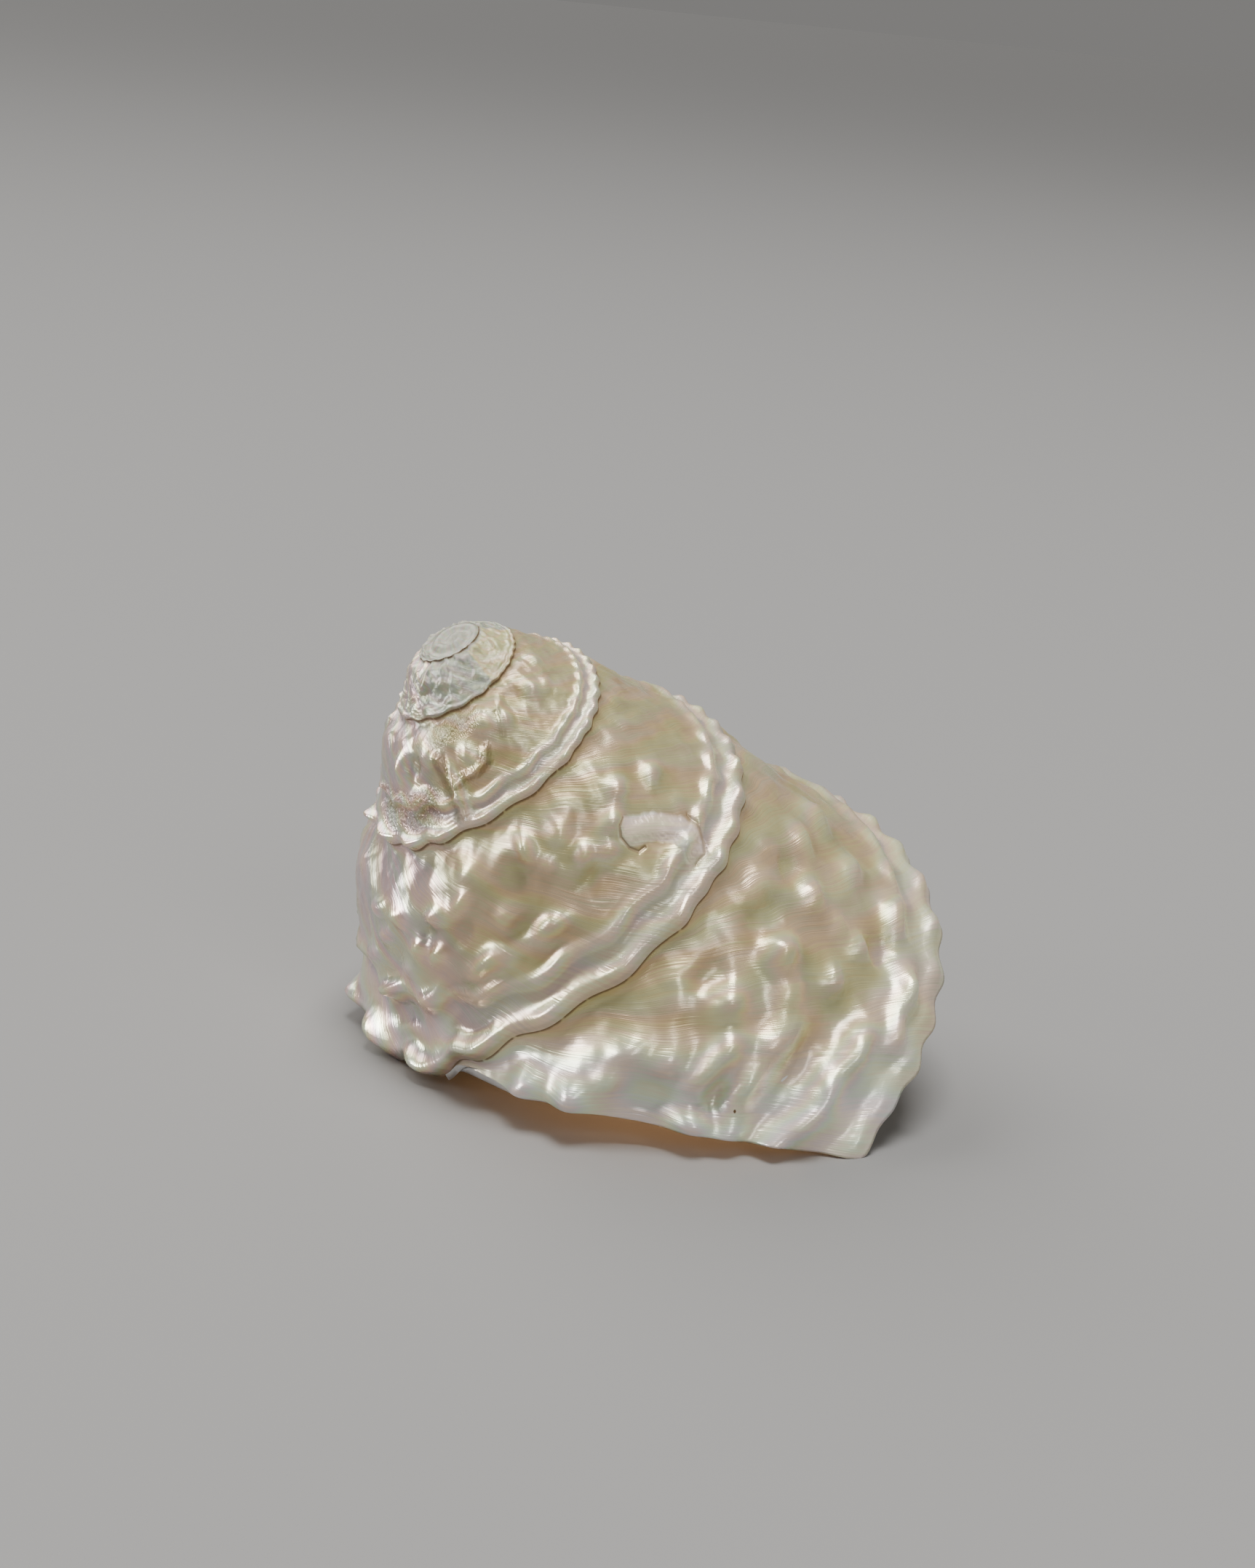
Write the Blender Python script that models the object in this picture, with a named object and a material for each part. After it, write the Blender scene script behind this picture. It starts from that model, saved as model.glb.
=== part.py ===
"""A wavy turban shell, polished down to its mother of pearl, as one closed hollow solid.

The shell is worked out in its own frame first: the coiling axis is Z, the apex is up, and the
growth angle is 0 at the corner of the outer lip and negative back towards the apex. It is then
leaned over onto its aperture, the way it rests on a table. Units are metres and radians.
"""
import math

import bmesh
import bpy
import numpy as np
from mathutils import Matrix, Vector

NAME = "turban_shell"
COLLECTION = "wavy_turban_shell"

# Growth of the keel, the wavy edge that winds round the shell
KEEL_RADIUS = 0.050        # from the axis to the keel at the lip's corner
GROWTH = 0.0612            # growth of the keel's radius per radian
GROWTH_BEND = -0.0016      # makes the spire domed: early whorls grow faster
SPIRE_DROP = 1.584         # drop of the keel below the apex, in keel radii
SPIRE_POWER = 1.428        # how the drop follows the radius
TURNS = 4                  # turns of the keel from the worn tip to the lip
STEPS = 72                 # columns of the surface in one turn
TIP_DROP = 0.052           # the worn tip lies this far below the keel law's apex

# Section of a whorl: share of the way from the suture to the keel, and how far it stands out
# there, on the side where the shoulder is roundest and on the side across from it
FACE_SHARES = (0.0, 0.05, 0.13, 0.28, 0.46, 0.64, 0.77, 0.84, 0.905, 0.96, 1.0)
ROUND_FACE = (0.0, -0.008, 0.020, 0.048, 0.034, 0.008, -0.004, 0.018, -0.006, 0.010, 0.0)
FLAT_FACE = (0.0, -0.010, -0.016, -0.026, -0.026, -0.018, -0.012, 0.008, -0.012, 0.006, 0.0)
ROUND_SIDE = math.radians(-250)    # growth angle of the round side, in every turn

# Waves and knobs
WAVES = 18                 # knobs of the keel in one turn
KEEL_WAVE = 0.016          # swing of the keel's edge, in keel radii at that place
KNOB_HEIGHT = 0.030        # height of a knob on the lower row
UPPER_KNOB_HEIGHT = 0.020  # height of a knob on the upper row
KNOB_ROW = 0.955           # place of the lower row on the face
UPPER_KNOB_ROW = 0.84      # place of the upper row on the face
KNOB_SPREAD = 0.045        # half width of a row of knobs, as a share of the face
FOLD_HEIGHT = 0.013        # height of the folds that cross a face
FOLD_SLANT = 1.9           # how far a fold runs ahead from suture to keel, in waves
LEFT_KNOBS = math.radians(-277)    # middle of the big knobs that the shell leans on
LEFT_KNOBS_REACH = math.radians(24)
LEFT_KNOBS_EXTRA = 0.034   # how much further those stand out
LEFT_KNOBS_DROP = 0.140    # how much lower the keel's edge hangs there

# Aperture and base
LIP_REACH = math.radians(75)       # the lip meets the suture this far ahead of its corner
LIP_STEPS = 15                     # the same in columns
LIP_PLANE = (-0.050, 0.685, 0.727)  # normal of the plane in which the lip lies
FOOT_DROP = 1.630          # foot of the columella below the apex, in keel radii
FOOT_ASIDE = (-0.10, 0.12)  # the foot stands this far off the axis, away from the mouth
BASE_ROWS = 7              # rows from the keel to the foot
BASE_BULGE = 0.030         # how far the base bulges down
BASAL_HOLLOW = 0.085       # how far it is drawn up again beside the mouth
BASAL_FADE = math.radians(34)
PARIETAL_FADE = math.radians(75)   # the base turns from wall to slope over this angle
COLUMELLA = 0.10           # half thickness of the columella, in keel radii
LIP_THICKNESS = 0.0012
INNER_ROUGH = 0.4          # share of the outer waves that the inside follows
WALL = 0.048               # wall thickness further in, in keel radii
FLOOR_LIFT = 0.070         # the hollow's floor rises this much beside the wall of the mouth
FLOOR_START = (-0.11, 0.055)  # the floor's outer end, from the keel's edge
FLOOR_RADIUS = 0.19        # the floor's inner end, from the axis
FLOOR_RISE = 0.135         # the floor's inner end above the foot
HOLLOW_SPAN = (0.08, 0.92)  # the inside reaches over this part of a face
ROOF_INSET = (-0.058, -0.053)  # the roof's inner end, from the suture
HOLLOW_STEP = math.radians(12)
HOLLOW_RINGS = 38
RIM_RINGS = 5              # rings over which the lip thickens to the full wall
SLANT_RINGS = 16           # rings over which the slanted mouth turns into a plain section
END_RINGS = 5              # rings over which the hollow closes

# Rest: the axis leans this far from upright, towards this side, and the shell is turned
LEAN = math.radians(32.5)
LEAN_SIDE = math.radians(-147.0)
TURN = math.radians(92.8)
REST_CUT = 0.00025         # worn flat where it touches the table

PEARL = (0.80, 0.76, 0.68, 1.0)
PEARL_ROUGHNESS = 0.28


def keel(angle):
    """Radius and height of the keel's lower edge at a growth angle, without waves."""
    share = np.exp(GROWTH * angle + GROWTH_BEND * angle ** 2)
    height = -SPIRE_DROP * share ** SPIRE_POWER
    return KEEL_RADIUS * share, KEEL_RADIUS * np.minimum(height, -TIP_DROP)


def smooth(value):
    """Eases a share between 0 and 1."""
    value = np.clip(value, 0.0, 1.0)
    return value * value * (3.0 - 2.0 * value)


def wave(angle, shift=0.0):
    """Height of the keel's wave, from -1 to 1; a knob stands on each crest."""
    return math.cos(WAVES * angle + shift)


def left_knobs(angle):
    """Strength of the big knobs, 1 in their middle and 0 away from them."""
    return math.exp(-((angle - LEFT_KNOBS) / LEFT_KNOBS_REACH) ** 2)


def edge(angle, rough=1.0):
    """The keel's lower edge with its waves, as radius and height; rough 0 leaves the waves out."""
    radius, height = keel(angle)
    radius = float(radius)
    swing = rough * KEEL_WAVE * radius * wave(angle)
    hang = rough * LEFT_KNOBS_DROP * radius * left_knobs(angle) * (0.6 + 0.4 * wave(angle))
    return radius + 0.8 * swing, height - 0.6 * swing - hang


def upper_edge(angle, rough=1.0):
    """The suture above the face: the keel's edge one turn earlier, or the rim of the worn tip."""
    start = -TURNS * math.tau
    return edge(max(angle - math.tau, start), rough)


def bulge(angle, share):
    """How far a whorl's smooth face stands out from a straight line."""
    roundness = 0.5 + 0.5 * math.cos(angle - ROUND_SIDE)
    flat = np.interp(share, FACE_SHARES, FLAT_FACE)
    return flat + (np.interp(share, FACE_SHARES, ROUND_FACE) - flat) * roundness


def face_point(angle, share, rough=1.0):
    """A point of a whorl's face, as radius and height; rough 0 leaves the folds and knobs out."""
    r0, z0 = upper_edge(angle, rough)
    r1, z1 = edge(angle, rough)
    size = keel(angle)[0]
    along = np.array((r1 - r0, z1 - z0))
    length = max(np.linalg.norm(along), 1e-9)
    out = np.array((-along[1], along[0])) / length
    stand = bulge(angle, share)
    if rough:
        crest = 0.5 + 0.5 * wave(angle)
        upper = 0.5 + 0.5 * wave(angle, 1.2)
        row = math.exp(-((share - KNOB_ROW) / KNOB_SPREAD) ** 2)
        upper_row = math.exp(-((share - UPPER_KNOB_ROW) / KNOB_SPREAD) ** 2)
        height = KNOB_HEIGHT + LEFT_KNOBS_EXTRA * left_knobs(angle)
        stand += rough * height * crest * row
        stand += rough * UPPER_KNOB_HEIGHT * upper * upper_row
        stand += rough * fold(angle, share)
    width = min(1.0, length / (0.30 * size)) ** 2
    point = np.array((r0, z0)) + along * share + out * stand * size * width
    return point[0], point[1]


def fold(angle, share):
    """Height of the slanting folds on a face; they fade at the suture and above the keel."""
    phase = 0.5 * WAVES * angle + FOLD_SLANT * math.pi * share
    fade = smooth(share / 0.15) * smooth((0.8 - share) / 0.2)
    return FOLD_HEIGHT * fade * (math.cos(phase) + 0.5 * math.cos(2.3 * phase + 1.0))


def place(angle, radius, height):
    """A point in the shell's frame; growth turns clockwise seen from the apex."""
    return Vector((radius * math.cos(-angle), radius * math.sin(-angle), height))


def lip_share(angle):
    """Share of the face above the lip, where the lip's plane cuts the face."""
    normal = Vector(LIP_PLANE)
    corner = place(0.0, *face_point(0.0, 1.0, 0.0))
    low, high = 0.0, 1.0
    for _ in range(30):
        middle = 0.5 * (low + high)
        above = normal.dot(place(angle, *face_point(angle, middle, 0.0)) - corner) > 0.0
        low, high = (middle, high) if above else (low, middle)
    return max(0.5 * (low + high), 0.10 * (1.0 - angle / LIP_REACH))


def bezier(points, share):
    """A point of a cubic curve through four control points."""
    a, b, c, d = (np.array(p) for p in points)
    rest = 1.0 - share
    return rest ** 3 * a + 3 * rest ** 2 * share * b + 3 * rest * share ** 2 * c + share ** 3 * d


def foot():
    """The columella's foot on the axis, as radius and height."""
    return 0.0, -FOOT_DROP * KEEL_RADIUS


def foot_shift(share):
    """How far a point of the underside moves aside towards the foot."""
    return Vector((*FOOT_ASIDE, 0.0)) * KEEL_RADIUS * share ** 2


def slope_blend(angle):
    """0 where the underside is the wall of the mouth, 1 where it slopes down to the foot."""
    return float(smooth((angle + math.tau - LIP_REACH) / PARIETAL_FADE))


def base_bulge(angle):
    """How far the underside bulges down at a growth angle; beside the mouth it is drawn up."""
    return BASE_BULGE - BASAL_HOLLOW * math.exp(-(angle / BASAL_FADE) ** 2)


def base_point(angle, share):
    """A point of the underside, from the keel (0) to the foot (1), as radius and height."""
    r1, z1 = edge(angle)
    rf, zf = foot()
    bulge = base_bulge(angle) * r1
    rs, zs = keel(angle)
    slope = [(rs + (rf - rs) * part, zs + (zf - zs) * part - bulge) for part in (1 / 3, 2 / 3)]
    column = COLUMELLA * KEEL_RADIUS
    wall = [(column, zs + 0.4 * column), (column, 0.45 * zs + 0.55 * zf)]
    blend = slope_blend(angle)
    inner = [tuple(np.array(w) * (1 - blend) + np.array(s) * blend) for w, s in zip(wall, slope)]
    return tuple(bezier([(r1, z1), inner[0], inner[1], (rf, zf)], share))


def hollow_point(angle, turn):
    """A point of the hollow's section. turn runs 0 suture, 1 keel, 2 foot, 4 suture again."""
    size = keel(min(angle, 0.0))[0]
    if turn <= 1.0:
        share = HOLLOW_SPAN[0] + (HOLLOW_SPAN[1] - HOLLOW_SPAN[0]) * turn
        here = np.array(face_point(angle, share, INNER_ROUGH))
        ahead = np.array(face_point(angle, share + 0.03, INNER_ROUGH))
        along = (ahead - here) / np.linalg.norm(ahead - here)
        return tuple(here - np.array((-along[1], along[0])) * WALL * size)
    if turn <= 2.0:
        return floor_point(angle, turn - 1.0)
    column = COLUMELLA * size
    floor_end = floor_point(angle, 1.0)
    roof = np.array(upper_edge(angle, INNER_ROUGH)) + np.array(ROOF_INSET) * size
    low, high = floor_end[1], roof[1]
    inner = [(0.55 * column, low + 0.40 * (high - low)), (column, high + 0.02 * size)]
    return tuple(bezier([floor_end, inner[0], inner[1], roof], (turn - 2.0) / 2.0))


def floor_point(angle, share):
    """A point of the hollow's floor, one wall above the base, from the keel inwards."""
    angle = min(angle, 0.0)
    size = keel(angle)[0]
    foot_drop = FOOT_DROP * (size / KEEL_RADIUS) ** SPIRE_POWER * KEEL_RADIUS
    start = np.array(edge(angle, 0.0)) + np.array(FLOOR_START) * size
    end = np.array((FLOOR_RADIUS * size, FLOOR_RISE * size - foot_drop))
    sag = np.array((0.0, (FLOOR_LIFT * (1.0 - slope_blend(angle)) - base_bulge(angle)) * size))
    middle = [start + (end - start) * part + sag for part in (1 / 3, 2 / 3)]
    return tuple(bezier([start, middle[0], middle[1], end], share))


class Skin:
    """Collects points and faces of the closed surface."""

    def __init__(self):
        self.points = []
        self.faces = []

    def add(self, point):
        self.points.append(point)
        return len(self.points) - 1

    def strip(self, first, second):
        """Joins two rows of points of the same length; repeated points make triangles."""
        for a, b, c, d in zip(first, first[1:], second[1:], second):
            corners = []
            for corner in (a, b, c, d):
                if corner not in corners:
                    corners.append(corner)
            if len(corners) > 2:
                self.faces.append(corners)


def whorl_columns(skin):
    """Columns of points over all whorl faces, from the tip to the end of the lip."""
    tip_radius, tip_height = edge(-TURNS * math.tau)
    tip = skin.add(place(-TURNS * math.tau, tip_radius, tip_height))
    rows = len(FACE_SHARES)
    columns = [[tip] * rows]
    last = TURNS * STEPS
    for number in range(1, last + LIP_STEPS):
        angle = (number - last) * math.tau / STEPS
        reach = 1.0 if number <= last else lip_share(angle)
        if number < STEPS:
            top = skin.add(place(angle, tip_radius, tip_height))
        else:
            top = columns[number - STEPS][-1]
        column = [top]
        for share in FACE_SHARES[1:]:
            column.append(skin.add(place(angle, *face_point(angle, share * reach))))
        columns.append(column)
    columns.append([columns[last + LIP_STEPS - STEPS][-1]] * rows)
    for first, second in zip(columns, columns[1:]):
        skin.strip(first, second)
    return columns


def close_tip(skin, columns):
    """The flat worn disc at the apex."""
    rim = [column[0] for column in columns[:STEPS]]
    middle = skin.add(Vector((0.0, 0.0, edge(-TURNS * math.tau)[1] + 0.0002)))
    skin.strip([middle] * (STEPS + 1), rim + rim[:1])


def base_columns(skin, columns):
    """The underside between the keel and the columella's foot; returns its first and last edge."""
    last = TURNS * STEPS
    first = last + LIP_STEPS - STEPS
    pole = skin.add(place(0.0, *foot()) + foot_shift(1.0))
    fan = []
    for number in range(first, last + 1):
        angle = (number - last) * math.tau / STEPS
        column = [columns[number][-1]]
        for row in range(1, BASE_ROWS):
            share = row / BASE_ROWS
            column.append(skin.add(place(angle, *base_point(angle, share)) + foot_shift(share)))
        fan.append(column + [pole])
    for near, far in zip(fan, fan[1:]):
        skin.strip(near, far)
    return fan[0], fan[-1]


def mouth(columns, wall_edge, basal_edge):
    """The mouth's rim as a loop of points, with each one's turn and growth angle."""
    last = TURNS * STEPS
    loop, turns, angles = [], [], []
    for number in range(last + LIP_STEPS, last - 1, -1):
        angle = (number - last) * math.tau / STEPS
        loop.append(columns[number][-1])
        turns.append(lip_share(angle) if number > last else 1.0)
        angles.append(angle)
    turns[0] = 0.0
    for row in range(1, BASE_ROWS + 1):
        loop.append(basal_edge[row])
        turns.append(1.0 + row / BASE_ROWS)
        angles.append(0.35 * LIP_REACH * (row / BASE_ROWS) ** 3)
    for row in range(BASE_ROWS - 1, 0, -1):
        loop.append(wall_edge[row])
        share = 1.0 - row / BASE_ROWS
        turns.append(2.0 + 2.0 * share)
        angles.append(LIP_REACH * (0.35 + 0.65 * float(smooth(share * 2.5))))
    return loop, turns, angles


def hollow(skin, loop, turns, angles):
    """The inside of the shell, wound back from the mouth and closed at its end."""
    starts = [place(a, *hollow_point(a, t)) for a, t in zip(angles, turns)]
    rims, evens = [], []
    for index, start in zip(loop, starts):
        inward = start - skin.points[index]
        rims.append(skin.points[index] + inward.normalized() * min(LIP_THICKNESS, inward.length))
    for number, turn in enumerate(turns):
        evens.append(number / LIP_STEPS if number < LIP_STEPS else turn)
    ring = loop
    for number in range(HOLLOW_RINGS + 1):
        ease = float(smooth(number / RIM_RINGS))
        slant = 1.0 - min(number / SLANT_RINGS, 1.0)
        left = (HOLLOW_RINGS - number) / END_RINGS
        swell = math.sqrt(max(1.0 - (1.0 - min(left, 1.0)) ** 2, 0.0))
        row = []
        for turn, even, angle, start, rim in zip(turns, evens, angles, starts, rims):
            here = angle * slant - number * HOLLOW_STEP * ease
            turn = turn + (even - turn) * (1.0 - slant)
            carried = Matrix.Rotation(angle - here, 3, "Z") @ (rim - start)
            point = place(here, *hollow_point(here, turn)) + carried * (1.0 - ease)
            row.append(point)
        middle = sum(row, Vector()) / len(row)
        if number == HOLLOW_RINGS:
            tip = skin.add(middle)
            new = [tip] * len(row)
        else:
            new = [skin.add(middle + (point - middle) * swell) for point in row]
        skin.strip(ring + ring[:1], new + new[:1])
        ring = new


def lean_matrix():
    """Turns the shell from its own frame into the pose in which it rests."""
    spin = Matrix.Rotation(TURN, 4, "Z")
    tip_over = Matrix.Rotation(LEAN, 4, "Y")
    side = Matrix.Rotation(LEAN_SIDE, 4, "Z")
    return side @ tip_over @ spin


def set_down(mesh):
    """Leans the shell, wears its contact spots flat and puts the middle of its foot print at 0."""
    mesh.transform(lean_matrix())
    work = bmesh.new()
    work.from_mesh(mesh)
    lowest = min(vertex.co.z for vertex in work.verts)
    cut = bmesh.ops.bisect_plane(work, geom=work.verts[:] + work.edges[:] + work.faces[:],
                                 dist=1e-7, plane_co=(0.0, 0.0, lowest + REST_CUT),
                                 plane_no=(0.0, 0.0, -1.0), clear_outer=True)
    rim = [item for item in cut["geom_cut"] if isinstance(item, bmesh.types.BMEdge)]
    bmesh.ops.holes_fill(work, edges=rim)
    bmesh.ops.triangulate(work, faces=work.faces[:])
    bmesh.ops.recalc_face_normals(work, faces=work.faces[:])
    corners = np.array([vertex.co for vertex in work.verts])
    low, high = corners.min(axis=0), corners.max(axis=0)
    shift = Vector((-0.5 * (low[0] + high[0]), -0.5 * (low[1] + high[1]), -low[2]))
    bmesh.ops.translate(work, verts=work.verts[:], vec=shift)
    work.to_mesh(mesh)
    work.free()


def pearl_material():
    """Plain mother of pearl."""
    material = bpy.data.materials.new("mother_of_pearl")
    material.use_nodes = True
    shader = material.node_tree.nodes["Principled BSDF"]
    shader.inputs["Base Color"].default_value = PEARL
    shader.inputs["Roughness"].default_value = PEARL_ROUGHNESS
    shader.inputs["Metallic"].default_value = 0.0
    return material


def build():
    """Makes the shell as one object in a collection of its own."""
    for old in list(bpy.data.objects):
        bpy.data.objects.remove(old, do_unlink=True)
    skin = Skin()
    columns = whorl_columns(skin)
    close_tip(skin, columns)
    wall_edge, basal_edge = base_columns(skin, columns)
    hollow(skin, *mouth(columns, wall_edge, basal_edge))
    mesh = bpy.data.meshes.new(NAME)
    mesh.from_pydata(skin.points, [], skin.faces)
    set_down(mesh)
    mesh.shade_smooth()
    mesh.set_sharp_from_angle(angle=math.radians(50))
    mesh.materials.append(pearl_material())
    shell = bpy.data.objects.new(NAME, mesh)
    group = bpy.data.collections.new(COLLECTION)
    bpy.context.scene.collection.children.link(group)
    group.objects.link(shell)
    return shell


build()
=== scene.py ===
# %% [markdown]
# # A wavy turban shell in mother of pearl
#
# This lesson dresses a plain solid of a sea shell. The real one is a wavy turban whose brown skin
# has been polished away, so that the mother of pearl below it shows. It lies on its open mouth.
# A shell grows by one rule: each part of it is the part before, a little larger and a little
# further round. That rule is written once, as a few short functions, and used twice: Geometry
# Nodes wind the outer skin with it, and Python winds the hollow inside.

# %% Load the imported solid
import math

import bmesh
import bpy
import numpy as np
from mathutils import Matrix, Vector


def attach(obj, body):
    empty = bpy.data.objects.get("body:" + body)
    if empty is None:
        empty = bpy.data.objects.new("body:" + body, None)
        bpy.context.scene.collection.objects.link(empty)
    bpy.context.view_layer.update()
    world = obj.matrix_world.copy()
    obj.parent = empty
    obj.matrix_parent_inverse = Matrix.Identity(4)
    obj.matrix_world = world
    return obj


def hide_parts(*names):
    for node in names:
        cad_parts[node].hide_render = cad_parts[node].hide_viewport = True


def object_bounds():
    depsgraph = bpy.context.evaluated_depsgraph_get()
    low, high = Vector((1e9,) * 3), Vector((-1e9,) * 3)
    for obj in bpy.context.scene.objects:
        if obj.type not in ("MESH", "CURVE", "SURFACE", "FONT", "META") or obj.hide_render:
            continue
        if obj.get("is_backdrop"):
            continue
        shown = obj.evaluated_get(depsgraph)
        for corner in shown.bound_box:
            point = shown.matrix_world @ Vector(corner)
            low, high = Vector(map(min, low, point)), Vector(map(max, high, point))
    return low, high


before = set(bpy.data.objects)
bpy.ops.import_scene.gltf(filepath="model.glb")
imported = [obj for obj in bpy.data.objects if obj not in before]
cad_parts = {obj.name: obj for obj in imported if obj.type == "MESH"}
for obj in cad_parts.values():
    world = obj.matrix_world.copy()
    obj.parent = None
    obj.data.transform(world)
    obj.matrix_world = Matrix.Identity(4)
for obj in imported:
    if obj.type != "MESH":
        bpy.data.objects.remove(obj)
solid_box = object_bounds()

print("the solid is", [round((high - low) * 1000, 1) for low, high in zip(*solid_box)], "mm")

# %% [markdown]
# ## Sums on sockets
#
# A node tree for a rule has hundreds of Math nodes, which nobody wants to place by hand. A small
# class wraps a socket, so that a sum written in Python adds its Math node to the tree. A second
# class stands for the tree and adds any other node.

# %% A socket that can be summed
class Wire:
    """One socket of a node tree, with the sums that this lesson uses."""

    def __init__(self, bench, socket):
        self.bench, self.socket = bench, socket

    def math(self, operation, *others):
        """Adds a Math node that starts with this wire."""
        values = dict(enumerate((self, *others)))
        return self.bench.node("ShaderNodeMath", {"operation": operation}, values)

    def other(self, name):
        """Another output of the node that this wire comes from."""
        return Wire(self.bench, self.socket.node.outputs[name])

    def after(self, operation, other):
        """Adds a Math node that ends with this wire."""
        return self.bench.node("ShaderNodeMath", {"operation": operation}, {0: other, 1: self})

    def __add__(self, other):
        return self.math("ADD", other)

    def __sub__(self, other):
        return self.math("SUBTRACT", other)

    def __mul__(self, other):
        return self.math("MULTIPLY", other)

    def __truediv__(self, other):
        return self.math("DIVIDE", other)

    def __pow__(self, other):
        return self.math("POWER", other)

    def __radd__(self, other):
        return self.after("ADD", other)

    def __rsub__(self, other):
        return self.after("SUBTRACT", other)

    def __rmul__(self, other):
        return self.after("MULTIPLY", other)


print("sums on a wire become Math nodes")


# %% A tree to build on
class Bench:
    """A node tree to build on."""

    def __init__(self, tree):
        self.tree = tree

    def node(self, kind, settings=None, inputs=None, output=0):
        """Adds a node: its settings first, then the values or wires of its sockets."""
        made = self.tree.nodes.new(kind)
        for name, value in (settings or {}).items():
            if name == "curve":
                set_curve(made.mapping, value)
            else:
                setattr(made, name, value)
        for key, value in (inputs or {}).items():
            if isinstance(value, Wire):
                self.tree.links.new(value.socket, made.inputs[key])
            else:
                made.inputs[key].default_value = value
        return Wire(self, made.outputs[output])


def set_curve(mapping, points):
    """A curve through the given points; both ends exist already."""
    mapping.use_clip = False
    line = mapping.curves[0]
    line.points[0].location, line.points[1].location = points[0], points[-1]
    for point in points[1:-1]:
        line.points.new(*point)
    mapping.update()


print("a bench adds nodes with their settings, values and links")

# %% [markdown]
# ## Functions for numbers and wires alike
#
# The rule of growth is needed twice: nodes wind the skin with it, and Python winds the hollow.
# Written twice, the two would soon drift apart. So each function here takes a plain number as well
# as a wire, and so does every rule that is made of them. A rule that is asked for many points
# would add its nodes each time. Marked as grouped, it builds them once, in a node group that is
# then reused.

# %% Simple functions
def is_wire(value):
    return isinstance(value, Wire)


def either(operation, plain):
    """A function that adds a Math node for a wire, and works out a plain number at once."""
    def call(value, *others):
        return value.math(operation, *others) if is_wire(value) else plain(value, *others)

    return call


exp, cos, sin = either("EXPONENT", math.exp), either("COSINE", math.cos), either("SINE", math.sin)
larger, smaller = either("MAXIMUM", max), either("MINIMUM", min)


def ease(value, low=0.0, high=1.0):
    """Runs smoothly from 0 at low to 1 at high."""
    if is_wire(value):
        settings = {"interpolation_type": "SMOOTHSTEP", "clamp": True}
        return value.bench.node("ShaderNodeMapRange", settings,
                                {"Value": value, "From Min": low, "From Max": high})
    share = min(max((value - low) / (high - low), 0.0), 1.0)
    return share * share * (3.0 - 2.0 * share)


def along_curve(value, points):
    """A value read from a curve through named points."""
    if is_wire(value):
        return value.bench.node("ShaderNodeFloatCurve", {"curve": points}, {"Value": value})
    places, heights = zip(*points)
    return float(np.interp(value, places, heights))


def bell(value, middle, width):
    """1 in the middle, falling to 0 on both sides."""
    offset = (value - middle) / width
    return exp(offset * offset * -1.0)


print("a quarter of the way, ease has risen to", ease(0.25), "and a bell has fallen to",
      round(bell(0.25, 0.0, 1.0), 3))


# %% Node groups and noise
def grouped(function):
    """Lets a function of wires build its nodes once, in a node group that is then reused."""
    groups = {}

    def call(*values):
        bench = next((value.bench for value in values if is_wire(value)), None)
        if bench is None:
            return function(*values)
        kind = bench.tree.bl_idname
        if kind not in groups:
            groups[kind] = group_of(function, kind, len(values))
        node = "GeometryNodeGroup" if kind == "GeometryNodeTree" else "ShaderNodeGroup"
        made = bench.node(node, {"node_tree": groups[kind]}, dict(enumerate(values)))
        results = tuple(Wire(bench, socket) for socket in made.socket.node.outputs)
        return results if len(results) > 1 else results[0]

    return call


def group_of(function, kind, count):
    """A node group that holds the nodes of one function."""
    tree = bpy.data.node_groups.new(function.__name__, kind)
    for name in function.__code__.co_varnames[:count]:
        tree.interface.new_socket(name, in_out="INPUT", socket_type="NodeSocketFloat")
    bench = Bench(tree)
    entry = bench.node("NodeGroupInput").socket.node
    results = function(*(Wire(bench, entry.outputs[i]) for i in range(count)))
    results = results if isinstance(results, tuple) else (results,)
    leave = tree.nodes.new("NodeGroupOutput")
    for i, result in enumerate(results):
        tree.interface.new_socket("result", in_out="OUTPUT", socket_type="NodeSocketFloat")
        tree.links.new(result.socket, leave.inputs[i])
    return tree


def noise(bench, x, y, seed, detail=1.0, roughness=0.5):
    """Smooth noise between -1 and 1 over two coordinates."""
    spot = bench.node("ShaderNodeCombineXYZ", {}, {0: x, 1: y, 2: seed})
    made = bench.node("ShaderNodeTexNoise", {"noise_dimensions": "3D"},
                      {"Vector": spot, "Scale": 1.0, "Detail": detail, "Roughness": roughness})
    return made * 2.0 - 1.0


print("grouped functions share their nodes, and noise runs from -1 to 1")

# %% [markdown]
# ## The rule of growth
#
# The axis of the coil is Z with the tip up, and the growth angle is 0 at the corner of the outer
# lip and negative back towards the tip. The keel, the wavy edge that winds round the shell, gets
# wider by a fixed share for each degree of turn, which makes a spiral. A small second term makes
# the spire domed. Each whorl's face is stretched between the keel one turn earlier, where it
# makes the seam called the suture, and its own keel. Such a coil could also be sculpted by eye, but
# then its whorls would hardly keep their proportions, and each change would mean sculpting again.

# %% Sizes of the growth rule
# Lengths are in metres. Drops, waves and profiles are shares of the keel's radius.
KEEL_RADIUS = 0.050
GROWTH = 0.0612
GROWTH_BEND = -0.0016
SPIRE_DROP = 1.584
SPIRE_POWER = 1.428
TIP_DROP = 0.052
TURNS = 4
TIP_ANGLE = -TURNS * math.tau
ROUND_SIDE = math.radians(-250)
PROFILE_SIZE = 0.30
NO_LENGTH = 1e-7

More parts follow.
